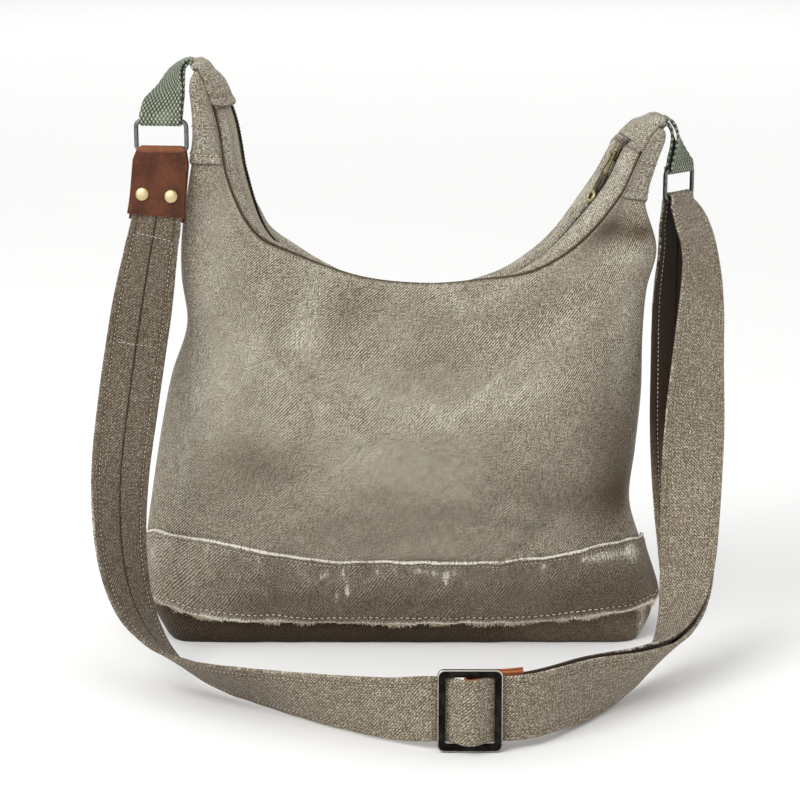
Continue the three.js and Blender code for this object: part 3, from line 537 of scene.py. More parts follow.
class Mouth(NamedTuple):
    """The mouth at some places: its front and back edges, the zip, and the way out of the bag."""

    front: Array
    back: Array
    zip: Array
    out: Array


def relief(table: Array, x: Array, z: Array) -> Array:
    """The sum of bell-shaped folds of a table at places on a panel, inwards."""
    middle_x, middle_z, long, wide, turn, deep = table.T
    turn = np.radians(turn)
    dx, dz = x[..., None] - middle_x, z[..., None] - middle_z
    along = (dx * np.cos(turn) + dz * np.sin(turn)) / long
    across = (dz * np.cos(turn) - dx * np.sin(turn)) / wide
    return (deep * np.exp(-(along**2) - across**2)).sum(axis=-1)


@dataclass
class BodyForm:
    """The swelling form that panels, hem, patches and tray share."""

    ripple: float = 0.16
    ripples: int = 34
    waves: dict[int, Array] = field(default_factory=dict)

    def __post_init__(self) -> None:
        """Draws each panel's slack ripples: direction, wavelength and phase, from fixed seeds."""
        for side in (-1, 1):
            draw = np.random.default_rng(20 + side)
            angle = draw.uniform(0, math.pi, self.ripples)
            wave = np.exp(draw.uniform(math.log(15), math.log(64), self.ripples))
            phase = draw.uniform(0, 2 * math.pi, self.ripples)
            self.waves[side] = np.stack([np.cos(angle) / wave, np.sin(angle) / wave,
                                         phase, wave ** 0.7 / 9], axis=1)

    def slack(self, side: int, x: Array, z: Array) -> Array:
        """Small relief of the cloth, outwards: sine ripples of many directions, and creases."""
        across, up, phase, high = self.waves[side].T
        turn = 2 * math.pi * (x[..., None] * across + z[..., None] * up) + phase
        mirrored = x if side < 0 else -x
        return self.ripple * (high * np.sin(turn)).sum(axis=-1) - relief(CREASES, mirrored, z)

    def mouth(self, s: Array) -> Mouth:
        """The mouth at s, from -1 at the left tip to 1 at the right one."""
        here = MOUTH.at(s)
        ahead, behind = MOUTH.at(np.minimum(1, s + 0.01)), MOUTH.at(np.maximum(-1, s - 0.01))
        nothing = np.zeros_like(here["x"])
        out = unit(np.stack([behind["z"] - ahead["z"], nothing, ahead["x"] - behind["x"]], axis=-1))
        middle = np.stack([here["x"], nothing, here["z"]], axis=-1)
        tip = ramp(0.97 - np.abs(s), 0, 0.06)
        wide = here["y"][..., None] * Y_AXIS
        back = middle + out * (here["back"] * tip)[..., None]
        return Mouth(middle - wide, back + wide, middle + out * here["zip"][..., None], out)

    def point(self, side: int, s: Array, t: Array, fine: float = 1.0) -> Array:
        """Points of the front (side -1) or back (side 1) panel.

        The outline is a patch between the base line, both side seams and the mouth edge. The depth
        swells between the seams as a superellipse and settles to the mouth's depth on its way up.

        Args:
            side: -1 for the front, 1 for the back.
            s: place across, from -1 to 1.
            t: place up, from 0 at the floor to 1 at the mouth.
            fine: share of the small relief.

        Returns:
            The points.
        """
        s, t = np.broadcast_arrays(np.asarray(s, float), np.asarray(t, float))
        edge = self.mouth(s)
        top = edge.front if side < 0 else edge.back
        seams, tips = SEAMS.at(t), SEAMS.rows[-1]
        u = (s + 1) / 2
        x = mix(seams["left_x"], seams["right_x"], u) + t * (top[..., 0] - mix(tips[1], tips[3], u))
        z = mix(seams["left_z"], seams["right_z"], u) + t * (top[..., 2] - mix(tips[2], tips[4], u))
        belly = BELLY.at(t)
        swell = np.sqrt(np.maximum(0, 1 - np.abs(s) ** belly["square"]))
        depth = mix(belly["y"] * swell, np.abs(top[..., 1]), ramp(t, 0.45, 1))
        inward = relief(FOLDS, x, z) - fine * self.slack(side, x, z)
        depth = depth - inward * swell * ramp(1 - t, 0, 0.2)
        return np.stack([x, side * np.maximum(0, depth), z], axis=-1)

    def across(self, s: Array, v: Array) -> Array:
        """Points across the mouth: v is -1 at the front edge, 0 on the zip and 1 at the back."""
        s, v = np.broadcast_arrays(s, v)
        edge = self.mouth(s)
        far = np.where(v[..., None] < 0, edge.front, edge.back)
        return mix(edge.zip, far, np.abs(v)[..., None])

    def width(self, s: Array, side: int) -> Array:
        """The distance from the zip to the front or back edge of the mouth."""
        edge = self.mouth(s)
        return np.linalg.norm(edge.zip - (edge.front if side < 0 else edge.back), axis=-1)


def from_middle(side: int, grid: Array) -> Array:
    """The rough way out of the bag at each point of a panel."""
    return np.stack([grid[..., 0] * 0.1, side * 40 + grid[..., 1] * 0.2,
                     (grid[..., 2] - 160) * 0.02], axis=-1)


# Shader maths


class Sock:
    """A shader socket that takes part in Python expressions."""

    def __init__(self, paint: "Paint", socket: bpy.types.NodeSocket) -> None:
        """Keeps the socket and the material that it belongs to."""
        self.paint, self.socket = paint, socket

    def _math(self, operation: str, *values: "Sock | float") -> "Sock":
        """A Math node on the values."""
        return self.paint.node("ShaderNodeMath", {"operation": operation}, dict(enumerate(values)))

    def __add__(self, other: "Sock | float") -> "Sock":
        """self + other."""
        return self._math("ADD", self, other)

    __radd__ = __add__

    def __sub__(self, other: "Sock | float") -> "Sock":
        """self - other."""
        return self._math("SUBTRACT", self, other)

    def __rsub__(self, other: "Sock | float") -> "Sock":
        """other - self."""
        return self._math("SUBTRACT", other, self)

    def __mul__(self, other: "Sock | float") -> "Sock":
        """self * other."""
        return self._math("MULTIPLY", self, other)

    __rmul__ = __mul__

    def sin(self) -> "Sock":
        """The sine."""
        return self._math("SINE", self)

    def size(self) -> "Sock":
        """The value without its sign."""
        return self._math("ABSOLUTE", self)

    def larger(self, other: "Sock | float") -> "Sock":
        """The larger of two values."""
        return self._math("MAXIMUM", self, other)

    def step(self, low: float, high: float) -> "Sock":
        """A smooth step from 0 at low to 1 at high."""
        return self.paint.node("ShaderNodeMapRange", {"interpolation_type": "SMOOTHSTEP"},
                               {"Value": self, "From Min": low, "From Max": high})

    def times(self, x: float, y: float, z: float) -> "Sock":
        """A vector scaled on each axis."""
        return self.paint.node("ShaderNodeVectorMath", {"operation": "MULTIPLY"},
                               {0: self, 1: (x, y, z)})


class Paint:
    """One material and the nodes that make it."""

    def __init__(self, name: str) -> None:
        """Starts a material with its shader and coordinates."""
        self.material = bpy.data.materials.new(name)
        self.material.use_nodes = True
        self.tree = self.material.node_tree
        self.shader = self.tree.nodes["Principled BSDF"]
        self.place = self.node("ShaderNodeTexCoord", out="Object")
        self.cloth = self.node("ShaderNodeUVMap", {"uv_map": "cloth"})

    def node(self, kind: str, settings: dict[str, object] | None = None,
             inputs: dict[str | int, object] | None = None, out: str | int = 0) -> Sock:
        """A node with its settings, then its inputs.

        Args:
            kind: the node's type.
            settings: its own properties.
            inputs: values or sockets by the input's name or number.
            out: the output's name or number.

        Returns:
            The output.
        """
        node = self.tree.nodes.new(kind)
        for name, value in (settings or {}).items():
            setattr(node, name, value)
        for key, value in (inputs or {}).items():
            self.set(node.inputs[key], value)
        return Sock(self, node.outputs[out])

    def set(self, socket: bpy.types.NodeSocket, value: object) -> None:
        """Links a socket to another, or gives it a value."""
        if isinstance(value, Sock):
            self.tree.links.new(value.socket, socket)
        else:
            socket.default_value = value

    def noise(self, where: Sock, scale: float, detail: float = 3.0, rough: float = 0.55,
              bend: float = 0.0) -> Sock:
        """Cloudy noise from 0 to 1 at a scale, in cycles for each unit of the coordinates."""
        return self.node("ShaderNodeTexNoise", {}, {
            "Vector": where, "Scale": scale, "Detail": detail, "Roughness": rough,
            "Distortion": bend})

    def both(self, where: Sock) -> list[Sock]:
        """The first two parts of a vector."""
        return [self.node("ShaderNodeSeparateXYZ", {}, {0: where}, out=k) for k in (0, 1)]

    def value(self, attribute: str) -> Sock:
        """One of the mesh's own values."""
        return self.node("ShaderNodeAttribute", {"attribute_name": attribute}, out="Fac")

    def blend(self, share: Sock | float, a: Sock | Colour, b: Sock | Colour) -> Sock:
        """Colour a passing to colour b by a share."""
        a, b = [(*c, 1.0) if isinstance(c, tuple) else c for c in (a, b)]
        return self.node("ShaderNodeMix", {"data_type": "RGBA"}, {0: share, 6: a, 7: b}, out=2)

    def finish(self, colour: Sock | Colour, rough: Sock | float, height: Sock | None = None,
               depth: float = 0.0003, strength: float = 0.6,
               **constants: object) -> bpy.types.Material:
        """Joins the parts to the shader.

        Args:
            colour: the base colour.
            rough: the roughness.
            height: the relief for the bump, or None.
            depth: the bump's distance in metres.
            strength: the bump's strength.
            constants: other inputs of the shader, by names with _ for spaces.

        Returns:
            The material.
        """
        colour = (*colour, 1.0) if isinstance(colour, tuple) else colour
        self.set(self.shader.inputs["Base Color"], colour)
        self.set(self.shader.inputs["Roughness"], rough)
        if height is not None:
            bump = self.node("ShaderNodeBump", {}, {
                "Height": height, "Distance": depth, "Strength": strength})
            self.set(self.shader.inputs["Normal"], bump)
        for name, value in constants.items():
            self.set(self.shader.inputs[name.replace("_", " ")], value)
        return self.material


def tone(red: int, green: int, blue: int) -> Colour:
    """A colour as seen on a screen, made linear."""
    return tuple(c / 12.92 if c <= 0.04045 else ((c + 0.055) / 1.055) ** 2.4
                 for c in (red / 255, green / 255, blue / 255))


@dataclass(frozen=True)
class CanvasFinish:
    """Washed cotton twill: diagonal ribs, flecked threads, cloudy fading and rubbed edges."""

    name: str
    ground: Colour = tone(135, 126, 108)
    light: Colour = tone(214, 207, 191)
    deep: Colour = tone(64, 54, 39)
    faded: Colour = tone(168, 161, 144)
    shaded: Colour = tone(118, 100, 74)
    # The colour of rubbed wear and of painted highlights.
    lightened: Colour = tone(226, 220, 207)
    # The colour of grime and of painted shade.
    grime_and_shade_colour: Colour = tone(68, 51, 32)
    rib: float = 1.5
    twill: float = 0.62
    fade: float = 0.5
    dusk: float = 0.45
    grain: float = 1.0

    def material(self) -> bpy.types.Material:
        """The canvas as a material: grain is twill ribs plus noise drawn out along each thread."""
        paint = Paint(self.name)
        warp = paint.noise(paint.cloth.times(1.1, 0.14, 1), 1.0, 2.0, 0.6)
        weft = paint.noise(paint.cloth.times(0.14, 1.1, 1), 1.0, 2.0, 0.6)
        fleck = paint.noise(paint.cloth, 0.85, 2.0, 0.7)
        across, along = paint.both(paint.cloth)
        slant = (across - along) * (math.sqrt(2) * math.pi / self.rib)
        twill = (slant + (fleck - 0.5) * 3).sin()
        grain = twill * self.twill + (warp - 0.5) * 2.0 + (weft - 0.5) * 1.6 + (fleck - 0.5) * 4.6
        cloud = paint.noise(paint.place, 17.0, 5.0, 0.6, 0.3)
        brown = paint.noise(paint.place, 11.0, 4.0, 0.55, 0.3)
        # The wear-and-highlight channel pales the cloth: real rubbing, and painted highlights on
        # crease ridges and on the hem's puckers.
        wear_and_highlight = paint.value("wear_and_highlight")
        colour = paint.blend(brown.step(0.5, 0.72) * self.dusk, self.ground, self.shaded)
        pale = cloud.step(0.48, 0.72) * self.fade + wear_and_highlight.step(0.0, 0.5) * 0.55
        colour = paint.blend(pale, colour, self.faded)
        colour = paint.blend(grain.step(0.0, 1.0) * (0.9 * self.grain), colour, self.light)
        colour = paint.blend((grain * -1).step(0.0, 1.0) * (0.9 * self.grain), colour, self.deep)
        # Darkened by the grime-and-shade channel: real grime, and painted shade where a piece puts
        # it.
        colour = paint.blend(paint.value("grime_and_shade"), colour, self.grime_and_shade_colour)
        patchy = (fleck - 0.5) * 2.2 + (warp - 0.5) * 1.8 + (cloud - 0.5) * 0.8
        rubbed = (wear_and_highlight * (1 + patchy)).step(0.4, 1.0)
        colour = paint.blend(rubbed, colour, self.lightened)
        weave = twill * 0.3 + warp * 1.4 + weft * 1.1 + fleck * 0.8
        return paint.finish(colour, 0.92, weave, 0.0004, 0.8, Sheen_Weight=0.1,
                            Specular_IOR_Level=0.2)


@dataclass(frozen=True)
class ThreadFinish:
    """Cotton sewing thread."""

    name: str
    colour: Colour
    light: Colour

    def material(self) -> bpy.types.Material:
        """The thread as a material, lighter and darker from place to place."""
        paint = Paint(self.name)
        cloud = paint.noise(paint.place, 60.0, 3.0)
        twist = paint.noise(paint.place, 2400.0, 1.0)
        colour = paint.blend(cloud.step(0.35, 0.65), self.colour, self.light)
        return paint.finish(colour, 0.9, twist, 0.0001, 0.5, Specular_IOR_Level=0.2)


@dataclass(frozen=True)
class WebbingFinish:
    """Thick cotton webbing woven in beads, pale on their crowns and dark between them."""

    name: str
    ground: Colour = tone(106, 114, 96)
    light: Colour = tone(188, 194, 174)
    deep: Colour = tone(62, 68, 54)
    bead: tuple[float, float] = (2.7, 3.9)

    def material(self) -> bpy.types.Material:
        """The webbing as a material.

        A bead's height is the larger of the product of two sines and that of two cosines.
        """
        paint = Paint(self.name)
        across, along = paint.both(paint.cloth)
        fleck = paint.noise(paint.cloth, 0.8, 3.0, 0.65)
        stray = (fleck - 0.5) * 1.2
        a = across * (math.pi / self.bead[0]) + stray
        b = along * (math.pi / self.bead[1]) - stray
        quarter = math.pi / 2
        bead = (a.sin() * b.sin()).size().larger(((a + quarter).sin() * (b + quarter).sin()).size())
        cloud = paint.noise(paint.place, 60.0, 4.0)
        # Dark between the beads as painted shade and pale on their crowns as painted highlight,
        # broken up by flecks and clouds.
        colour = paint.blend(bead.step(0.5, 0.74), self.deep, self.ground)
        pale = bead.step(0.68, 0.98) * (fleck * 2.0 - 0.35) + cloud.step(0.5, 0.75) * 0.2
        colour = paint.blend(pale, colour, self.light)
        return paint.finish(colour, 0.95, bead + fleck * 0.8, 0.0006, 0.9,
                            Sheen_Weight=0.1, Specular_IOR_Level=0.2)


@dataclass(frozen=True)
class LeatherFinish:
    """Oiled leather with fine grain, faint scuffs and rubbed edges."""

    name: str
    ground: Colour = tone(96, 54, 34)
    light: Colour = tone(152, 96, 64)
    deep: Colour = tone(66, 35, 21)

    def material(self) -> bpy.types.Material:
        """The leather as a material."""
        paint = Paint(self.name)
        cloud = paint.noise(paint.place, 40.0, 4.0, 0.5, 0.3)
        scuff = paint.noise(paint.place, 420.0, 4.0, 0.65, 0.4)
        grain = paint.node("ShaderNodeTexVoronoi", {"feature": "SMOOTH_F1"}, {
            "Vector": paint.place, "Scale": 1100.0, "Smoothness": 0.5})
        colour = paint.blend(cloud.step(0.34, 0.7), self.deep, self.ground)
        colour = paint.blend(scuff.step(0.5, 0.78) * 0.25, colour, self.light)
        # Lightened where the wear-and-highlight channel is high: rubbed edges, and the painted
        # highlight on the tab's top fold.
        rubbed = (paint.value("wear_and_highlight") * (0.55 + scuff * 0.8)).step(0.1, 0.95)
        colour = paint.blend(rubbed * 0.85, colour, self.light)
        colour = paint.blend(paint.value("grime_and_shade"), colour, tone(52, 34, 24))
        rough = 0.56 + scuff * 0.25
        return paint.finish(colour, rough, grain * -1 + scuff * 0.6, 0.0002, 0.45,
                            Specular_IOR_Level=0.2)


@dataclass(frozen=True)
class MetalFinish:
    """Plated metal, dulled in patches, rubbed bright on its edges, and lightened by painted
    highlights.
    """

    name: str
    ground: Colour
    bright: Colour
    rough: float = 0.42
    dull: float = 0.25
    patch: float = 0.4

    def material(self) -> bpy.types.Material:
        """The metal as a material."""
        paint = Paint(self.name)
        cloud = paint.noise(paint.place, 130.0, 5.0, 0.6)
        scratch = paint.noise(paint.place.times(1, 1, 6), 260.0, 3.0, 0.7)
        # Rubbed bright where the wear-and-highlight channel is high: real wear, and the painted
        # highlight on the rings.
        rubbed = (paint.value("wear_and_highlight") * (0.35 + scratch * 1.1)).step(0.3, 0.75)
        colour = paint.blend(cloud.step(0.4, 0.72) * self.patch, self.ground, self.bright)
        colour = paint.blend(rubbed, colour, self.bright)
        rough = self.rough + (cloud - 0.5) * self.dull - rubbed * 0.12
        return paint.finish(colour, rough, cloud + scratch * 0.4, 0.00015, 0.35, Metallic=1.0)


@dataclass(frozen=True)
class FloorFinish:
    """A plain pale tabletop."""

    name: str
    colour: Colour = tone(247, 247, 246)

    def material(self) -> bpy.types.Material:
        """The floor as a material."""
        paint = Paint(self.name)
        cloud = paint.noise(paint.place, 3.0, 3.0)
        colour = paint.blend(cloud * 0.5, self.colour, tone(243, 243, 242))
        return paint.finish(colour, 0.8, Specular_IOR_Level=0.1)


class Finishes:
    """Every finish on the bag, made once."""

    def __init__(self) -> None:
        """Makes the materials."""
        self.canvas = CanvasFinish("washed_canvas").material()
        self.facing = CanvasFinish("facing_canvas", ground=tone(143, 135, 118),
                                   light=tone(218, 212, 197), faded=tone(175, 169, 153),
                                   rib=1.15, twill=0.3).material()
        # The base canvas is a darker copy of the canvas: painted shade on the bag's underside.
        self.base = CanvasFinish("base_canvas", ground=tone(70, 55, 40), faded=tone(122, 110, 92),
                                 shaded=tone(52, 39, 26), light=tone(128, 110, 88),
                                 deep=tone(30, 22, 14), grime_and_shade_colour=tone(38, 27, 17),
                                 fade=0.3).material()
        self.strap = CanvasFinish("strap_canvas", ground=tone(124, 111, 92),
                                  shaded=tone(104, 87, 64), faded=tone(147, 135, 116),
                                  grime_and_shade_colour=tone(52, 38, 25), twill=0.4, fade=0.4,
                                  grain=0.9).material()
        self.tape = CanvasFinish("zip_tape", ground=tone(168, 160, 140), rib=0.9, fade=0.3,
                                 grain=0.6).material()
        self.thread = ThreadFinish("sewing_thread", tone(170, 159, 138),
                                   tone(212, 204, 186)).material()
        self.fray = ThreadFinish("frayed_cotton", tone(182, 168, 147),
                                 tone(216, 206, 190)).material()
        self.webbing = WebbingFinish("green_webbing").material()
        self.leather = LeatherFinish("brown_leather").material()
        self.keeper = LeatherFinish("tan_leather", ground=tone(142, 76, 44),
                                    light=tone(178, 112, 74), deep=tone(112, 56, 31)).material()
        self.steel = MetalFinish("dark_steel", tone(38, 39, 38), tone(132, 134, 132),
                                 patch=0.25).material()
        self.black = MetalFinish("black_buckle", tone(24, 22, 19), tone(192, 188, 176), rough=0.5,
                                 patch=0.04).material()
        self.brass = MetalFinish("rivet_brass", tone(196, 178, 128), tone(226, 214, 176),
                                 rough=0.46).material()
        self.antique = MetalFinish("antique_brass", tone(82, 71, 47), tone(206, 192, 150),
                                   patch=0.22).material()
        self.teeth = MetalFinish("zip_teeth", tone(50, 45, 38), tone(126, 116, 96)).material()


# Sub-assemblies


@dataclass
class BagBody:
    """Front and back panels, base tray, hem band with its frayed edge, and horn patches."""

    form: BodyForm
    finishes: Finishes
    canvas: float = 1.6
    gap: float = 0.3
    foot: float = 0.076
    lap: float = 2.4
    tray_top: float = 0.11
    tray_step: float = 3.2
    hem_tall: float = 62.0
    hem_thick: float = 2.2
    hem_lift: float = 0.7
    hem_foot: float = 0.072
    hem_top: float = 0.241
    hem_foot_rise: float = 0.012
    hem_seams: tuple[float, float] = (0.925, 0.1)
    patch_thick: float = 1.5
    patch_lift: float = 0.4
    horn_x: float = 122.0
    rim: float = 0.997
    fading: float = 1.25
    back_fading: float = 0.6
    stitches: list[Form] = field(default_factory=list)

    def build(self) -> None:
        """Makes every piece of the body."""
        thread = Thread(2.3, 1.0, 0.26)
        for side, name in ((-1, "front_panel"), (1, "back_panel")):
            self.panel(side, name)
        self.tray()
        self.hem(thread)
        bold = Thread(2.4, 1.1, 0.42)
        self.patch("left_horn_patch", -1, low=326.0, seams=(332.5, 351.0), tilt=0.0, thread=bold)
        self.patch("right_horn_patch", 1, low=302.0, seams=(308.5, 327.0), tilt=7.0, thread=bold)
        joined(self.stitches).piece("body_stitches", self.finishes.thread, Slot.CANVAS, extra=True)

    def panel(self, side: int, name: str) -> None:
        """One panel: the body's surface as its outer face, with a folded mouth edge."""
        up = edged(self.foot, 1.0, 150, 0.006)
        across = spread(220, 0.99999)
        grid = self.form.point(side, across, up[:, None])
        normals = grid_normals(grid, from_middle(side, grid))
        round_off = hem_round(up, 0.006)[:, None]
        low = -self.canvas * (0.5 + 0.5 * round_off)
        high = -self.canvas * (0.5 - 0.5 * round_off)
        x, z = grid[..., 0] * -side, grid[..., 2]
        marks = self.fading * relief(FADES, x, z) * (1 - 0.6 * ramp(np.abs(across), 0.94, 1.0))
        if side > 0:
            marks = marks * self.back_fading
        rim = bell(up, 0.985, 0.022)[:, None] * 0.3
        seam = ramp(np.abs(across), 0.985, 1.0) * 0.3
        # Crease ridges are rubbed pale and also lightened as a painted highlight.
        raised = ramp(-relief(CREASES, x, z), 0.25, 1.1) * 0.24
        wear_and_highlight = np.minimum(np.maximum(rim, seam) + raised + np.maximum(0, marks), 0.46)
        # Painted shade: darker towards the bottom, towards both side seams, and in a dark line
        # along the mouth edge where the facing meets the panel. The negative marks add their
        # darker, browner tone.
        low_shade = ramp(0.26 - up, 0, 0.14)[:, None] * 0.1
        side_shade = ramp(np.abs(across), 0.93, 1.0) * 0.14
        grime_and_shade = low_shade + side_shade + np.maximum(0, -marks) + 0.95 * bell(up, 1.0, 0.0055)[:, None]
        shell = Form.shell(grid, normals, low, high, wear_and_highlight, grime_and_shade)
        shell.points[:, 1] = side * np.maximum(self.gap / 2, side * shell.points[:, 1])
        shell.piece(name, self.finishes.canvas, Slot.CANVAS)

    def tray(self) -> None:
        """The base tray: rings of the body's outline moved inwards, from the floor to its lap."""
        places = spread(90, 0.998)

        def ring(t: float, inset: float, height: float | None = None) -> Array:
            """One level outline, moved inwards along its own normal."""
            loop = np.concatenate([self.form.point(-1, places, t, 0.4),
                                   self.form.point(1, -places, t, 0.4)])
            along = loop_tangent(loop)
            inward = unit(np.stack([-along[:, 1], along[:, 0], np.zeros(len(loop))], axis=1))
            loop = loop + inward * inset
            if height is not None:
                loop[:, 2] = height
            return loop

        rise = np.linspace(0.006, self.tray_top, 12)
        rings = [ring(0, self.lap + inset, height)
                 for inset, height in ((2.2, 0.0), (0.8, 0.25), (0.0, 1.2))]
        rings += [ring(t, self.lap) for t in rise]
        rings += [ring(t, self.lap + self.canvas) for t in rise[::-1]]
        rings += [ring(0.004, self.lap + self.canvas + 1, self.canvas)]
        body = Form.tube(np.array(rings))
        length = run_along(rings[len(rise) // 2])
        height = np.arange(len(rings)) * self.tray_step
        body.flat = np.stack([np.tile(length, len(rings)), np.repeat(height, len(length))], axis=1)
        x, y, z = body.points.T
        # Painted shade darkens the base near the floor. It is also darker towards the left, and the
        # wear-and-highlight channel makes it lighter towards the right. The front corners are
        # rubbed.
        body.grime_and_shade = ramp(12 - z, 0, 14) * 0.35 + 0.55 * ramp(110 - x, 0, 90)
        corner = bell(np.abs(x), 166, 3) * ramp(-y, 4, 20)
        body.wear_and_highlight = 0.3 * corner + 0.3 * ramp(x, 30, 130)
        body.piece("base_panel", self.finishes.base, Slot.BASE)

    def hem(self, thread: Thread) -> None:
        """The hem band: a second layer off the panel, rubbed white along its rolled top fold."""
        across = spread(340, 0.9993)
        share = edged(0.0, 1.0, 56, 0.03)
        draw = np.random.default_rng(5)
        ragged = np.convolve(draw.normal(0, 1, len(across)), np.ones(3) / 3, "same") * 0.0012
        top = self.hem_top - HEM_FALL.at(across)["fall"]
        foot = self.hem_foot + ragged + self.hem_foot_rise * ramp(-across, 0.74, 1.02)
        rows = mix(foot, top, share[:, None])
        grid = self.form.point(-1, across, rows)
        normals = grid_normals(grid, from_middle(-1, grid))
        run = flat_map(grid)[0, :, 0]
        pucker = np.sin(run / 2.7 + np.sin(run / 19) * 2) * 0.5 + np.sin(run / 5.3 + 1) * 0.5
        near_top, near_foot = bell(share, 0.86, 0.1)[:, None], bell(share, 0.13, 0.09)[:, None]
        lift = self.hem_lift + 0.3 * (1 + pucker) * (near_top + 0.6 * near_foot)
        upper, lower = [bell(share, at, 0.011)[:, None] for at in self.hem_seams]
        roll = 0.6 * bell(share, 0.968, 0.024)[:, None]
        thick = self.hem_thick * hem_round(share, 0.03, 0.3)[:, None]
        middle = lift + self.hem_thick / 2
        high = middle + thick / 2 - 0.5 * (upper + lower) + roll
        fold = bell(share, 0.986, 0.02)[:, None] * (1.0 + 0.12 * np.sin(run / 17 + 0.4))
        raw = bell(share, 0.0, 0.045)[:, None] * (0.85 + 0.15 * np.sin(run / 23))
        x, z = grid[..., 0], share[:, None] * self.hem_tall
        at, level, wide, tall, strong = HEM_RUBS.T
        rubs = strong * bell(x[..., None], at, wide) * bell(z[..., None], level, tall)
        # The pucker ridges are rubbed pale and also lightened as a painted highlight.
        pale_ridges = 0.3 * ramp(pucker, 0.2, 0.9) * near_top
        wear_and_highlight = np.clip(np.maximum(fold, raw) + rubs.sum(axis=-1) + pale_ridges, 0, 1.1)
        # Painted shade over the whole band, darker towards its lower edge and towards the right,
        # lighter at the left end, and darker in the pucker hollows and at both ends of the band.
        # The seams are darker lines of their own.
        paler = 1 - 0.6 * ramp(-x, 90, 150)
        shade = 0.41 + 0.26 * ramp(0.85 - share, 0, 0.6)[:, None] + 0.08 * ramp(x, 40, 140)
        hollow_shade = 0.12 * ramp(-pucker, 0.2, 0.9) * near_top
        corners = 0.18 * ramp(np.abs(across), 0.95, 1.0)
        grime_and_shade = shade * paler + hollow_shade + corners + 0.34 * upper + 0.5 * lower
        grime_and_shade = grime_and_shade * (1 - raw.clip(0, 1))
        Form.shell(grid, normals, middle - thick / 2, high, wear_and_highlight, grime_and_shade).piece(
            "hem_band", self.finishes.canvas, Slot.CANVAS)
        outer = grid + normals * high[..., None]
        for at, sewn in zip(self.hem_seams, (thread, Thread(3.0, 1.2, 0.4))):
            row = int(np.abs(share - at).argmin())
            self.stitches.append(sewn.row(outer[row, 4:-4], normals[row, 4:-4]))
        self.fray(outer[0], normals[0], draw)

    def fray(self, edge: Array, normals: Array, draw: np.random.Generator) -> None:
        """Short cotton tufts along the hem's raw edge: thin tapering strands that hang and curl."""
        count, sides, steps = 4200, 3, 4
        rows = np.sort(draw.uniform(2, len(edge) - 3, count))
        root = at_rows(edge, rows) - at_rows(normals, rows) * draw.uniform(-0.2, 1.6, (count, 1))
        clump = 0.8 + 0.45 * np.sin(rows / 4.1 + 2 * np.sin(rows / 9.7))[:, None]
        length = np.minimum((draw.gamma(2.6, 0.45, (count, 1)) + 0.5) * clump, 3.6)
        sway = draw.normal(0, 0.55, (count, 1))
        fall = np.linspace(0, 1, steps)
        path = root[:, None] + np.stack([
            sway * length * fall**1.5,
            (draw.normal(-0.15, 0.22, (count, 1)) * length) * fall,
            1.0 - (length + 0.6) * fall * (1 - 0.25 * np.abs(sway) * fall)], axis=-1)
        cos, sin = circle(sides)
        ring = np.stack([cos, sin, np.zeros(sides)], axis=1)
        radius = draw.uniform(0.2, 0.42, (count, 1)) * (1 - 0.55 * fall)
        points = path[:, :, None] + radius[..., None, None] * ring
        strands = Form.copies(points.reshape(count, -1, 3), tube_faces(steps, sides))
        strands.piece("hem_fray", self.finishes.fray, Slot.CANVAS, extra=True)

    def level(self, end: int, side: int, heights: Array, share: Array,
              tilt: float) -> tuple[Array, Array]:
        """Places on a horn where a panel stands at given heights.

        Args:
            end: -1 for the left horn, 1 for the right.
            side: -1 for the front, 1 for the back.
            heights: one height for each row.
            share: places round the horn, from 0 at the mouth edge to 1 at the side seam.
            tilt: how far a row falls from the mouth edge to the side seam.

        Returns:
            The places across and up of every row, found by halving spans.
        """
        sought = heights[:, None] + tilt * (0.5 - share)

        def halved(low: Array, high: Array, height: Callable[[Array], Array],
                   rising: bool) -> Array:
            """The place between low and high where a height passes the one sought."""
            for _ in range(26):
                middle = (low + high) / 2
                below = (height(middle) < sought[:, :low.shape[1]]) == rising
                low, high = np.where(below, middle, low), np.where(below, high, middle)
            return low

        ones = np.ones((len(heights), 1))
        edge = halved(end * 0.945 * ones, end * 0.6 * ones,
                      lambda s: self.form.point(side, s, self.rim * ones)[..., 2], False)
        s = mix(edge, end * 0.9998, 0.01 + 0.99 * (1 - (1 - share) ** 2.2))
        t = halved(0.6 * np.ones_like(s), self.rim * np.ones_like(s),
                   lambda up: self.form.point(side, s, up)[..., 2], True)
        return s, t

    def patch(self, name: str, end: int, low: float, seams: tuple[float, float], tilt: float,
              thread: Thread) -> None:
        """A reinforcement round a horn, from its lower edge up to the mouth edge and the tip.

        Args:
            name: the piece's name.
            end: -1 for the left horn, 1 for the right.
            low: height of its lower edge.
            seams: heights of its rows of stitches.
            tilt: how far its lower edge falls towards the side seam.
            thread: the stitches to sew.
        """
        share = np.linspace(0, 1, 36)
        rise = edged(0.0, 1.0, 34, 0.05)
        seat = self.patch_lift + self.patch_thick + 0.12

        def round_horn(heights: Array, rows: Array | None) -> Array:
            """Front and back half in one grid, at the heights or in rows above the only one."""
            halves = []
            for side in (-1, 1):
                s, t = self.level(end, side, heights, share, tilt)
                t = t if rows is None else mix(t, self.rim, rows[:, None])
                halves.append(self.form.point(side, s, t))
            return np.concatenate([halves[0], halves[1][:, -2::-1]], axis=1)

        def outwards(surface: Array) -> Array:
            """The normals of a grid round the horn, away from its middle line."""
            return grid_normals(surface, surface * [1, 1, 0] - [end * self.horn_x, 0, 0])

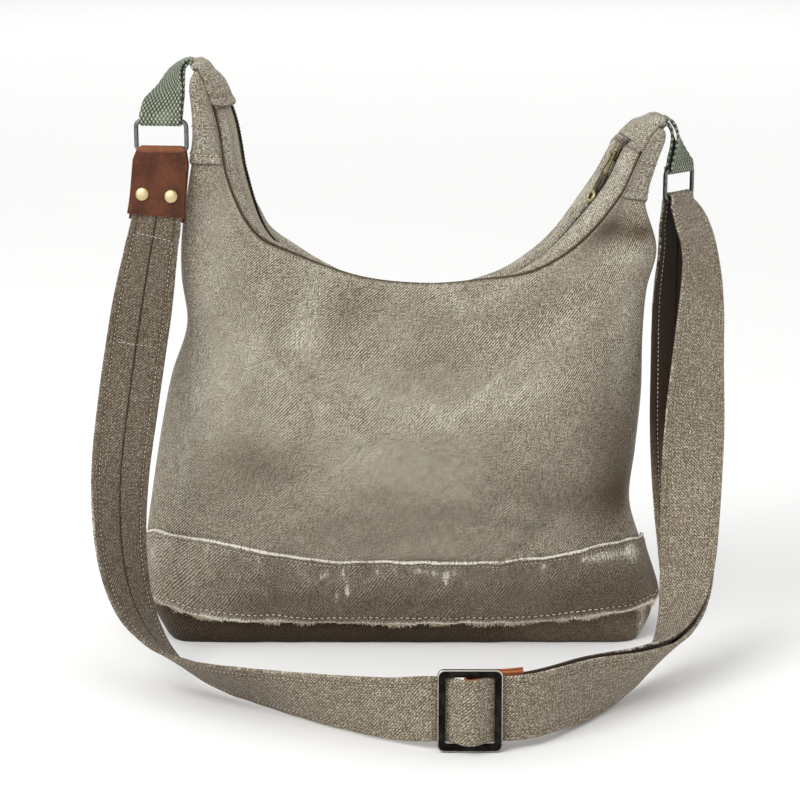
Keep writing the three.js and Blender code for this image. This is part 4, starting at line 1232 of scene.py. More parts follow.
        grid = round_horn(np.array([low]), rise)
        normals = outwards(grid)
        round_off = hem_round(rise, 0.05)[:, None]
        tuck = (1 - ramp(rise, 0.86, 1.0))[:, None]
        thick = self.patch_thick * round_off * (0.45 + 0.55 * tuck)
        under = self.patch_lift * tuck
        ends = 0.3 * bell(rise, 0.07, 0.03) + 0.25 * bell(rise, 0.97, 0.05)
        side_seam = 0.3 * bell(np.linspace(-1, 1, grid.shape[1]), 0, 0.06)
        wear_and_highlight = ends[:, None] + side_seam
        fall = tilt * (0.5 - np.concatenate([share, share[-2::-1]]))
        sewn = sum(bell(grid[..., 2] - fall, height, 1.1) for height in seams)
        # A painted shadow darkens the patch's lower edge, and the seams are darker lines.
        grime_and_shade = 0.03 + 0.85 * bell(rise, 0.0, 0.02)[:, None] + 0.4 * sewn
        Form.shell(grid, normals, under, under + thick, wear_and_highlight, grime_and_shade).piece(
            name, self.finishes.facing, Slot.CANVAS)
        for height in seams:
            rows = round_horn(height + np.array([1.0, 0.0, -1.0]), None)
            out = outwards(rows)[1]
            self.stitches.append(thread.row(rows[1, 1:-1] + out[1:-1] * seat, out[1:-1]))


@dataclass
class ZipMouth:
    """Facings, tapes, toothed chain, end tabs, slider and pull."""

    form: BodyForm
    finishes: Finishes
    facing: float = 1.4
    puff: float = 1.7
    roll: float = 4.4
    tape: float = 1.0
    gap: float = 0.3
    opening: float = 3.4
    chain_half: float = 2.6
    chain_above: float = 1.6
    chain_rise: float = 1.4
    tooth_pitch: float = 1.15
    tab_thick: float = 1.5
    tab_start: float = 0.95
    left_lip: tuple[float, float, float] = (-0.882, -0.8725, -0.882)
    right_lip: tuple[float, float, float] = (0.864, 0.877, 0.836)
    lip_shadows: tuple[float, float] = (0.861, -0.874)
    tab_seam: float = 0.8
    slider_at: float = 0.835
    slider_half: tuple[float, float] = (6.0, 4.1)
    slider_thick: float = 1.6
    crown_tall: float = 2.4
    crown_reach: float = 4.2
    pull_lift: float = 4.0
    pull_roll: float = 23.5
    pull_frame: tuple[float, float] = (7.9, 3.1)
    pull_bar: tuple[float, float] = (15.4, 29.6)
    pull_eye: float = 33.4
    eye_radius: float = 3.55

    def build(self) -> None:
        """Makes every piece of the mouth."""
        thread = Thread(2.0, 1.0, 0.28)
        stitches: list[Form] = []
        for name, side in (("front", -1), ("back", 1)):
            self.edging(name, side)
            stitches.append(self.seam(side, Thread(1.9, 1.1, 0.15)))
        self.teeth()
        for name, start, lip in (("left", -self.tab_start, self.left_lip),
                                 ("right", self.tab_start, self.right_lip)):
            stitches.append(self.end_tab(name, start, lip, thread))
        joined(stitches).piece("mouth_stitches", self.finishes.thread, Slot.CANVAS, extra=True)
        self.slider()
        self.pull()

    def seam(self, side: int, thread: Thread) -> Form:
        """Stitches on a panel, just below the edge that the facing is sewn to."""
        along = np.linspace(-0.86, 0.86, 400)
        grid = self.form.point(side, along, np.array([0.98, 0.984, 0.988])[:, None])
        normals = grid_normals(grid, from_middle(side, grid))
        return thread.row(grid[1] - normals[1] * 0.1, normals[1])

    def edging(self, name: str, side: int) -> None:
        """One facing and one tape across the mouth, from its edge towards the zip.

        The facing is a padded band: its height over the straight line between mouth edge and zip
        follows the root of a half sine. The front one is rolled up on the right, and the back one
        waves along its run and leaves room beside the slider.

        Args:
            name: front or back.
            side: -1 or 1.
        """
        along = np.linspace(-0.955, 0.955, 380)[:, None]
        width = self.form.width(along, side)
        share = edged(0.0, 1.0, 18, 0.1)
        left = ramp(-along, 0.3, 0.7)
        right = ramp(along, 0.28, 0.52) * ramp(0.89 - along, 0.0, 0.04)
        inner_edge = self.opening + (3.4 * left - 0.5 * right if side < 0
                                     else 1.2 * left + bell(along, 0.845, 0.025))
        facing = self.form.across(along, side * mix(1 - 0.4 / width, inner_edge / width, share))
        out = np.broadcast_to(self.form.mouth(along).out, facing.shape)
        normals = grid_normals(facing, out)
        run = run_along(facing[:, :1])
        wave = np.sin(run / 7.0 + 1.4 * np.sin(run / 23)) * np.sin(share * math.pi)
        even = self.puff * np.sqrt(np.sin(share * math.pi).clip(0))
        rolled = self.roll * np.sin(share * math.pi / 2) * np.sqrt(1 - share**8)
        arch = (mix(even, rolled, right) if side < 0 else even) - 0.5
        middle = arch + wave * (0.9 + 0.8 * right if side > 0 else 0.25) + self.facing / 2
        thick = self.facing * hem_round(share, 0.1)
        wear_and_highlight = 0.36 * bell(share, 0.45, 0.22) + 0.3 * bell(share, 0.97, 0.06) + 0.1 * wave
        # Painted shade: a dark line where the facing meets the panel, and a painted shadow on the
        # facing just under each end tab's lip. The facing also darkens a little towards the zip.
        under_tabs = sum(bell(along, at, 0.0045) for at in self.lip_shadows)
        grime_and_shade = 0.95 * bell(share, 0.0, 0.055) + 0.1 * ramp(share, 0.6, 1.0) + 0.7 * under_tabs
        Form.shell(facing, normals, middle - thick / 2, middle + thick / 2, wear_and_highlight, grime_and_shade).piece(
            f"{name}_zip_facing", self.finishes.facing, Slot.CANVAS)
        inner = np.linspace(0, 1, 9)
        reach = mix(inner_edge + 2.2, self.chain_half - 0.3, inner)
        tape = self.form.across(along, side * reach / width)
        tape_normals = grid_normals(tape, np.broadcast_to(out[:, :1], tape.shape))
        raised = left * (0.9 + self.chain_rise * inner) - self.gap
        Form.shell(tape, tape_normals, raised - self.tape, raised, 0.3, 0.03).piece(
            f"{name}_zip_tape", self.finishes.tape, Slot.TAPE)

    def teeth(self) -> None:
        """Two rows of interlocked teeth: each an eight-sided bar across the zip, headed inside."""
        along = np.linspace(-0.872, 0.872, 900)
        line = self.form.mouth(along)
        raised = line.zip + line.out * (self.chain_rise * ramp(-along, 0.3, 0.7))[:, None]
        rows, tangent = resample(raised, self.tooth_pitch)
        middle, out = at_rows(raised, rows), unit(at_rows(line.out, rows))
        side = np.where(np.arange(len(rows)) % 2, 1.0, -1.0)[:, None, None]
        across = np.array([-0.5, -0.35, 0.3, 0.5, 2.2, 2.5])
        half = np.array([0.3, 0.62, 0.62, 0.45, 0.45, 0.35])
        tall = np.array([0.5, 0.85, 0.9, 0.8, 0.95, 0.7])
        section = oval(1.0, 1.0, 8, 3.0)
        local = np.stack(np.broadcast_arrays(half[:, None] * section[:, 0], across[:, None],
                                             0.45 + tall[:, None] * section[:, 1]), axis=-1)
        axes = np.stack([tangent, np.broadcast_to(Y_AXIS, tangent.shape), out], axis=1)
        places = np.tile(local.reshape(-1, 3), (len(rows), 1, 1))
        places[..., 1:2] *= side
        points = middle[:, None] + np.einsum("npk,nkc->npc", places, axes)
        faces = tube_faces(len(across), len(section))
        turned = [f[:, ::-1] for f in faces]
        teeth = Form.copies(points[::2], faces, 0.3) + Form.copies(points[1::2], turned, 0.3)
        teeth.piece("zip_chain", self.finishes.teeth, Slot.ZIP, sharp=40)

    def end_tab(self, name: str, start: float, lip: tuple[float, float, float],
                thread: Thread) -> Form:
        """A canvas cap over one end of the zip, sewn down along both mouth edges.

        Across the mouth it is a parabola from edge to edge that clears the zip. Its lip towards the
        zip is turned under into a thicker hem, and leaves its middle place for the one at each edge
        with the third and fourth powers of the way across.

        Args:
            name: left or right.
            start: place of its end towards the tip.
            lip: place of its lip at the front, in the middle and at the back.
            thread: the stitches to sew.

        Returns:
            Its row of stitches.
        """
        share = edged(0.0, 1.0, 24, 0.05)
        places = np.linspace(-1, 1, 52)
        front, centre, back = lip
        ends = centre + (back - front) / 2 * places**3 + ((back + front) / 2 - centre) * places**4
        edge = self.form.mouth(mix(start, ends, share[:, None]))
        middle = mix(edge.front, edge.back, (places[:, None] + 1) / 2)
        lift = self.facing + self.gap + 0.6 + self.puff * 0.5
        clear = ((edge.zip - (edge.front + edge.back) / 2) * edge.out).sum(axis=-1) + lift
        clear = clear * (0.3 + 0.7 * ramp(share, 0.0, 0.6))[:, None]
        grid = middle + edge.out * (clear * (1 - places**2))[..., None]
        normals = grid_normals(grid, np.broadcast_to(edge.out, grid.shape))
        seam = bell(share, self.tab_seam, 0.03)
        fold = 0.6 * bell(share, 0.93, 0.05) - 0.45 * seam
        sewn = hem_round(places, 0.08, 0.25)
        thick = self.tab_thick * hem_round(share, 0.05)[:, None] * sewn
        wear_and_highlight = (0.14 * bell(share, 0.92, 0.05) + 0.1)[:, None] * np.ones_like(places)
        # Darker along the seam, painted shade along the lip's end, and darker along both sewn
        # sides.
        seam_and_lip_shade = 0.4 * seam + 0.85 * bell(share, 1.0, 0.022)
        grime_and_shade = seam_and_lip_shade[:, None] + 0.3 * bell(np.abs(places), 1.0, 0.03)
        high = thick + fold[:, None] * sewn
        Form.shell(grid, normals, 0.0, high, wear_and_highlight, grime_and_shade).piece(
            f"{name}_zip_end_tab", self.finishes.facing, Slot.CANVAS)
        row = int(np.abs(share - self.tab_seam).argmin())
        outer = grid + normals * high[..., None]
        return thread.row(outer[row, 2:-2], normals[row, 2:-2])

    def seat(self) -> tuple[Array, Array, Array, float]:
        """The slider's place on the zip, the uphill and outward directions, the pin's height."""
        here = self.form.mouth(np.array(self.slider_at))
        uphill = np.array([here.out[2], 0, -here.out[0]])
        base = self.chain_above + self.gap
        return here.zip, uphill, here.out, base + self.slider_thick + self.crown_tall / 2

    def slider(self) -> None:
        """The slider: a waisted plate with round edges, and an arched crown over it."""
        at, uphill, out, pin = self.seat()
        base = self.chain_above + self.gap
        run = np.linspace(-1, 1, 25)
        long, wide = self.slider_half
        half = wide * (0.74 + 0.26 * run) * np.sqrt(np.clip(1.03 - np.abs(run) ** 7, 0.02, 1)) + 0.4
        tall = self.slider_thick / 2 * np.sqrt(np.clip(1.05 - np.abs(run) ** 10, 0.05, 1))
        section = oval(1, 1, 24, 4)[None] * np.stack([half, tall], axis=1)[:, None]
        path = at + uphill * (run * long)[:, None] + out * (base + self.slider_thick / 2)
        plate = sweep(path, Y_AXIS, out, section, wear_and_highlight=0.35)
        turn = np.linspace(0, math.pi, 25)
        rise = base + 1 + (pin + 1.7 - base) * np.sqrt(np.sin(turn).clip(0))
        arch = at - uphill * (self.crown_reach * np.cos(turn))[:, None] + out * rise[:, None]
        along = unit(np.gradient(arch, axis=0))
        crown = sweep(arch, Y_AXIS, np.cross(along, Y_AXIS), oval(1.1, 0.65, 12, 3), wear_and_highlight=0.55)
        (plate + crown).piece("zip_slider", self.finishes.antique, Slot.ZIP)

    def pull(self) -> None:
        """The pull: an open frame on the pin, a flat bar and an eyelet, rolled to the front."""
        at, uphill, out, pin = self.seat()
        lift = math.radians(self.pull_lift)
        down = -uphill * math.cos(lift) + out * math.sin(lift)
        level = out * math.cos(lift) + uphill * math.sin(lift)

        def rolled(run: Array) -> tuple[Array, Array]:
            """The directions across the pull and out of its face, at a run from the pin."""
            roll = math.radians(self.pull_roll) * ramp(run, 5.0, 14.0)[:, None]
            return (Y_AXIS * np.cos(roll) + level * np.sin(roll),
                    level * np.cos(roll) - Y_AXIS * np.sin(roll))

        origin = at + out * pin
        long, wide = self.pull_frame
        loop = rounded_outline(long, wide, 1.2, 5)
        side, face = rolled(long + loop[:, 0])
        path = origin + down * (long + loop[:, :1]) + side * loop[:, 1:]
        across = np.cross(loop_tangent(path), face)
        window = sweep(path, across, face, oval(0.95, 0.85, 12, 3), True, 0.5)
        run = np.linspace(*self.pull_bar, 12)
        side, face = rolled(run)
        half = np.stack([1.9 + 0.8 * bell(run, run[0], 1.6), np.full(len(run), 0.85)], axis=1)
        section = oval(1, 1, 16, 5)[None] * half[:, None]
        bar = sweep(origin + down * run[:, None], side, face, section, wear_and_highlight=0.3)
        cos, sin = circle(32)
        ray = down * cos[:, None] + side[-1] * sin[:, None]
        path = origin + down * self.pull_eye + ray * self.eye_radius
        eye = sweep(path, ray, face[-1], oval(1.3, 0.95, 12, 3), True, 0.65)
        (window + bar + eye).piece("zip_pull", self.finishes.antique, Slot.ZIP, body=Body.PULL)


@dataclass
class RingFrame:
    """A rectangular wire ring: the middle of its lower bar and its turn about the vertical."""

    low: Array
    turn: float
    inner: float = 31.0
    tall: float = 17.0
    wire: float = 3.0
    corner: float = 2.5

    def __post_init__(self) -> None:
        """Works out the ring's directions and its upper bar."""
        angle = math.radians(self.turn)
        self.across = np.array([math.cos(angle), math.sin(angle), 0])
        self.out = np.array([math.sin(angle), -math.cos(angle), 0])
        self.high = self.low + Z_AXIS * (self.tall + self.wire)

    def form(self) -> Form:
        """A round wire carried round a rectangle with round corners."""
        loop = rounded_outline((self.inner + self.wire) / 2, (self.tall + self.wire) / 2,
                               self.corner + self.wire / 2)
        path = (self.low + self.high) / 2 + self.across * loop[:, :1] + Z_AXIS * loop[:, 1:]
        section = oval(self.wire / 2, self.wire / 2, 20)
        # The wire's outward face is lightened: a painted highlight, laid in the wear-and-highlight
        # channel.
        lightened = 0.35 + 0.35 * circle(len(section))[1]
        return sweep(path, np.cross(loop_tangent(path), self.out), self.out, section, True, lightened)


def course(rows: Array, per: int) -> Array:
    """Sections through control rows, `per` to each span, with the edge direction made unit."""
    keys = np.arange(len(rows), dtype=float)
    read = cubic(keys, rows, np.linspace(0, len(rows) - 1, (len(rows) - 1) * per + 1))
    read[:, 3:6] = unit(read[:, 3:6])
    return read


def alongside(rows: Array, share: float) -> Array:
    """Another layer: each section moved inwards by a share of its gap, and along by its slide."""
    index, last = np.arange(len(rows)), len(rows) - 1
    tangent = rows[np.minimum(index + 1, last), :3] - rows[np.maximum(index - 1, 0), :3]
    edge = unit(rows[:, 3:6])
    outside = unit(np.cross(tangent, edge))
    at = rows[:, :3] - outside * rows[:, 6:7] * share + edge * rows[:, 7:8]
    return np.concatenate([at, edge], axis=1)


def round_bar(bar: Array, start: Array, top: Array, radius: float, edge: Array,
              count: int) -> Array:
    """Sections half way round a bar, on a half circle from `start` over `top`."""
    angle = np.linspace(0, math.pi, count + 1)[:, None]
    at = bar + start * np.cos(angle) * radius + top * np.sin(angle) * radius
    return np.concatenate([at, np.broadcast_to(edge, at.shape)], axis=1)


class Lay(NamedTuple):
    """A strip laid out: its grid, its normals, and its flat map of places across and run along."""

    grid: Array
    normals: Array
    flat: Array


def lay(sections: Array, across: Array, narrow: Array | float = 1.0) -> Lay:
    """A flat strip along sections.

    The normal is the product of the run's slope and the edge direction, and the grid is the middle
    plus the places across along the edge.

    Args:
        sections: rows of a middle and an edge direction.
        across: places across, in millimetres.
        narrow: share of the width at each section.

    Returns:
        The strip's layout.
    """
    at = sections[:, :3]
    tangent = np.gradient(at, axis=0)
    normal = unit(np.cross(tangent, sections[:, 3:6]))
    edge = unit(np.cross(normal, tangent))
    places = np.broadcast_to(narrow, len(at))[:, None] * across
    grid = at[:, None] + edge[:, None] * places[..., None]
    flat = np.stack(np.broadcast_arrays(across, run_along(at)[:, None]), axis=-1)
    return Lay(grid, np.broadcast_to(normal[:, None], grid.shape), flat)


# Sections: middle x y z, direction of the outer edge, gap to the other layer, slide along the edge.
STRAP_LEFT = np.array([
    (-166.5, -27, 268, -1, 0.02, 0.1), (-172, -42, 230, -1, -0.04, 0.08),
    (-179, -64, 176, -0.95, -0.24, 0.1), (-184, -80, 126, -0.86, -0.47, 0.14),
    (-182, -96, 80, -0.71, -0.66, 0.2), (-171, -113, 46, -0.57, -0.73, 0.36),
    (-151, -132, 26, -0.44, -0.71, 0.54), (-124, -150, 18, -0.33, -0.66, 0.67),
    (-92, -171, 18, -0.22, -0.56, 0.8), (-49, -197, 19.8, -0.1, -0.34, 0.93),
    (-8, -218, 22.4, 0, -0.08, 0.99),
])
STRAP_OUTER = np.array([
    (116, -186, 22, -0.06, -0.12, 0.98, 5.6, 0), (145, -158, 20.4, 0.1, -0.5, 0.85, 5.2, 0),
    (167, -131, 22.5, 0.34, -0.65, 0.67, 5, 0), (182, -109, 37, 0.55, -0.66, 0.5, 5, 1),
    (188, -88, 66, 0.8, -0.5, 0.32, 5.6, 3), (187, -61, 118, 0.95, -0.16, 0.2, 8, 7),
    (186, -26, 186, 0.88, 0.44, 0.08, 16, 7.5), (186.5, 0, 236, 0.76, 0.64, 0.02, 20, 6),
    (187, 6, 272, 0.66, 0.75, 0, 16, 2),
])
# Webbing loops: the line between both legs, the edge direction, and the gap between the legs.
LEFT_WEBBING = np.array([
    (-132, 0, 374, 0, -1, 0, 2.4, 0), (-132.8, 0, 385.4, 0, -1, 0, 2.2, 0),
    (-140, 0, 393.2, 0.05, -0.99, 0, 2, 0), (-148.4, -2.4, 387.4, 0.28, -0.96, 0, 3.4, 0),
    (-153, -8.1, 376.4, 0.62, -0.78, 0, 4.2, 0), (-156.4, -14.5, 367, 0.92, -0.34, 0, 4.8, 0),
])
RIGHT_WEBBING = np.array([
    (165.4, 0, 337.7, 0, 1, 0, 2.4, 0), (170.4, 0, 348.6, 0, 1, 0, 2.6, 0),
    (177.2, 0, 354, 0, 1, 0, 2.8, 0), (182.2, -0.2, 348, 0.06, 0.99, 0, 3.4, 0),
    (184, -0.1, 339, 0.22, 0.97, 0, 4.2, 0), (185.4, 0, 330.6, 0.45, 0.89, 0, 5, 0),
])


@dataclass
class Hardware:
    """Rings, webbing loops, the leather tab with its rivets, and the slide buckle."""

    finishes: Finishes
    gap: float = 0.3
    webbing_width: float = 28.0
    webbing_thick: float = 1.6
    webbing_bead: tuple[float, float] = WebbingFinish.bead
    tab_thick: float = 2.0
    tab_front: float = 43.0
    tab_back: float = 46.0
    tab_half: float = 18.5
    tab_settle: float = 8.0
    tab_gathered: float = 0.92
    tab_flare: float = 0.05
    rivet_spread: float = 9.8
    rivet_down: float = 29.5
    buckle_long: float = 39.0
    buckle_tall: float = 50.6
    buckle_bar: float = 4.8
    buckle_thick: float = 3.0
    centre: float = 3.0
    lean: float = 4.0

    def __post_init__(self) -> None:
        """Sets out the rings, the tab's directions and the buckle's."""
        self.left = RingFrame(np.array([-158.4, -17.2, 335.0]), -8)
        self.right = RingFrame(np.array([186.8, 0.0, 302.0]), 51)
        self.down = unit(np.array([-0.085, -0.18, -0.98]))
        self.tab_out = unit(np.cross(self.down, self.left.across))
        self.tab_across = unit(np.cross(self.tab_out, self.down))
        self.tab_radius = self.left.wire / 2 + self.gap + self.tab_thick / 2
        lean = math.radians(self.lean)
        self.buckle_at = np.array([41.0, -230.0, 25.8])
        self.buckle_up = np.array([0, math.sin(lean), math.cos(lean)])
        self.buckle_out = np.array([0, -math.cos(lean), math.sin(lean)])

    def build(self) -> None:
        """Makes every fitting."""
        self.left.form().piece("left_ring", self.finishes.steel, Slot.STEEL)
        self.right.form().piece("right_ring", self.finishes.steel, Slot.STEEL)
        self.webbing("left_webbing", LEFT_WEBBING, self.left)
        self.webbing("right_webbing", RIGHT_WEBBING, self.right)
        self.tab()
        for name, side in (("left_rivet", -1), ("right_rivet", 1)):
            self.rivet(name, side)
        self.buckle()

    def webbing(self, name: str, line: Array, ring: RingFrame) -> None:
        """A webbing loop: two legs half a gap off one line, joined round the ring's upper bar."""
        radius = ring.wire / 2 + self.gap + self.webbing_thick / 2
        seat = np.array([[*(ring.high + Z_AXIS * 2.5), *ring.across, 2 * radius, 0]])
        middle = course(np.concatenate([line, seat]), 26)
        legs = [course(alongside(middle, share), 1) for share in (-0.5, 0.5)]
        arc = round_bar(ring.high, ring.out, -Z_AXIS, radius, ring.across, 20)
        half = self.webbing_width / 2
        across = edged(-half, half, 80, 0.9)
        strip = lay(np.concatenate([legs[0], arc, legs[1][::-1]]), across)
        turn = strip.flat * math.pi / self.webbing_bead
        bead = np.maximum(np.abs(np.sin(turn).prod(axis=-1)), np.abs(np.cos(turn).prod(axis=-1)))
        thick = self.webbing_thick / 2 * hem_round(across, 0.8, 0.3) - 0.36 + 0.48 * bead
        Form.shell(strip.grid, strip.normals, -thick, thick, flat=strip.flat).piece(
            name, self.finishes.webbing, Slot.WEBBING)

    def on_tab(self, down: Array, out: Array | float, across: Array | float) -> Array:
        """Points by their distance down the tab, out of it and across it."""
        down, out, across = [np.asarray(v, float)[..., None]
                             for v in np.broadcast_arrays(down, out, across)]
        return self.left.low + self.down * down + self.tab_out * out + self.tab_across * across

    def ring_wire(self, u: Array) -> tuple[Array, Array]:
        """The middle of the ring's lower wire at u across the tab, and the way in from there."""
        ring = self.left
        radius = ring.corner + ring.wire / 2
        flat = (ring.inner + ring.wire) / 2 - radius
        reach = np.abs(u) * self.tab_gathered
        angle = np.maximum(0, reach - flat) / radius
        across = np.sign(u) * (np.minimum(reach, flat) + radius * np.sin(angle))
        up = radius * (1 - np.cos(angle))
        centre = ring.low + ring.across * across[:, None] + Z_AXIS * up[:, None]
        lean = np.sign(u) * np.sin(angle)
        return centre, Z_AXIS * np.cos(angle)[:, None] - ring.across * lean[:, None]

    def tab(self) -> None:
        """The leather tab: hung from the lower wire in front and behind, and folded over it."""
        across = edged(-self.tab_half, self.tab_half, 40, 0.9)
        centre, inward = self.ring_wire(across)
        ring = self.left

        def leg(side: int, down: Array) -> Array:
            """One flap, from the wire's own curve to the flat tab."""
            hung = centre + ring.out * side * self.tab_radius + self.down * down[:, None, None]
            flare = 1 + self.tab_flare * bell(down, self.tab_front + 2, 9)[:, None]
            flat = self.on_tab(down[:, None], side * self.tab_radius, across * flare)
            return mix(hung, flat, ramp(down, 0, self.tab_settle)[:, None, None])

        near, far = edged(0.5, self.tab_front, 34, 0.9), edged(0.5, self.tab_back, 34, 0.9)
        angle = np.linspace(0.25, math.pi - 0.25, 12)[:, None, None]
        fold = centre + self.tab_radius * (ring.out * np.cos(angle) + inward * np.sin(angle))
        grid = np.concatenate([leg(1, near[::-1]), fold, leg(-1, far)])
        normals = grid_normals(grid)
        round_rows = np.ones(len(grid))
        round_rows[:5] = hem_round(near, 0.9, 0.35)[::-1][:5]
        round_rows[-5:] = hem_round(far, 0.9, 0.35)[-5:]
        thick = self.tab_thick / 2 * round_rows[:, None] * hem_round(across, 0.9, 0.35)
        rows = np.arange(len(grid))
        edge = bell(np.abs(across), self.tab_half, 0.7)
        front_end, back_end = bell(rows, 0, 2.2), bell(rows, len(grid) - 1, 3)
        # The top of the fold is lightened as a painted highlight. The edges and the front end are
        # rubbed.
        top = bell(rows, len(near) + 3, 6)
        wear_and_highlight = np.clip(edge * 0.5 + (front_end * 0.9 + top * 0.7)[:, None], 0, 1)
        grime_and_shade = np.broadcast_to((0.8 * back_end)[:, None], wear_and_highlight.shape)
        Form.shell(grid, normals, -thick, thick, wear_and_highlight, grime_and_shade).piece(
            "leather_tab", self.finishes.leather, Slot.LEATHER)

    def rivet(self, name: str, side: int) -> None:
        """A domed rivet: a profile turned about its own axis through the tab."""
        seat = self.tab_radius + self.tab_thick / 2 + 0.1
        arc = np.linspace(0, math.pi / 2, 9)
        profile = np.concatenate([
            [(0.02, -seat - 1.2), (3.6, -seat - 1.2), (4, -seat - 0.8), (4, -seat), (1.5, -seat),
             (1.5, seat), (4.2, seat), (4.5, seat + 0.25)],
            np.stack([4.5 * np.cos(arc) ** 0.75, seat + 0.5 + 1.5 * np.sin(arc)], axis=1)])
        profile[-1, 0] = 0.02
        cos, sin = circle(40)
        other = np.cross(self.tab_across, self.tab_out)
        ray = self.tab_across * cos[:, None] + other * sin[:, None]
        middle = self.on_tab(self.rivet_down, 0.0, side * self.rivet_spread)
        radius, out = profile.T[..., None, None]
        lightened = 0.5 * ramp(profile[:, 1:], seat + 0.5, seat + 2.0)
        rings = middle + self.tab_out * out + ray * radius
        Form.tube(rings, wear_and_highlight=lightened).piece(name, self.finishes.brass, Slot.BRASS)

    def buckle(self) -> None:
        """The slide buckle: one section carried between two rounded outlines, and its centre bar.

        It is rubbed along its outer rim, most at the top.
        """
        long, tall = self.buckle_long / 2, self.buckle_tall / 2
        outer = rounded_outline(long, tall, 4.0, 10)
        inner = rounded_outline(long - self.buckle_bar, tall - self.buckle_bar, 1.5, 10)
        section = oval(1, self.buckle_thick / 2, 24, 5)
        share = (1 - section[:, 0]) / 2
        flat = mix(outer[:, None], inner[:, None], share[:, None])
        rings = (self.buckle_at + flat[..., :1] * X_AXIS + flat[..., 1:] * self.buckle_up
                 + section[:, 1:] * self.buckle_out)
        corner = np.abs(section[:, 0] * section[:, 1]) / (self.buckle_thick / 2)
        top = ramp(outer[:, 1:], tall - 5.0, tall - 1.0)
        lightened = ramp(corner, 0.5, 0.75) * np.where(section[:, 0] > 0, 0.68 + 0.6 * top, 0.25)
        ring = Form.tube(rings, True, lightened)
        run = np.linspace(-tall + 3.0, tall - 3.0, 9)
        bar = sweep(self.buckle_at + self.buckle_up * run[:, None], X_AXIS, self.buckle_out,
                    oval(self.centre / 2, self.buckle_thick / 2, 16, 4), wear_and_highlight=0.1)
        (ring + bar).piece("slide_buckle", self.finishes.black, Slot.STEEL)


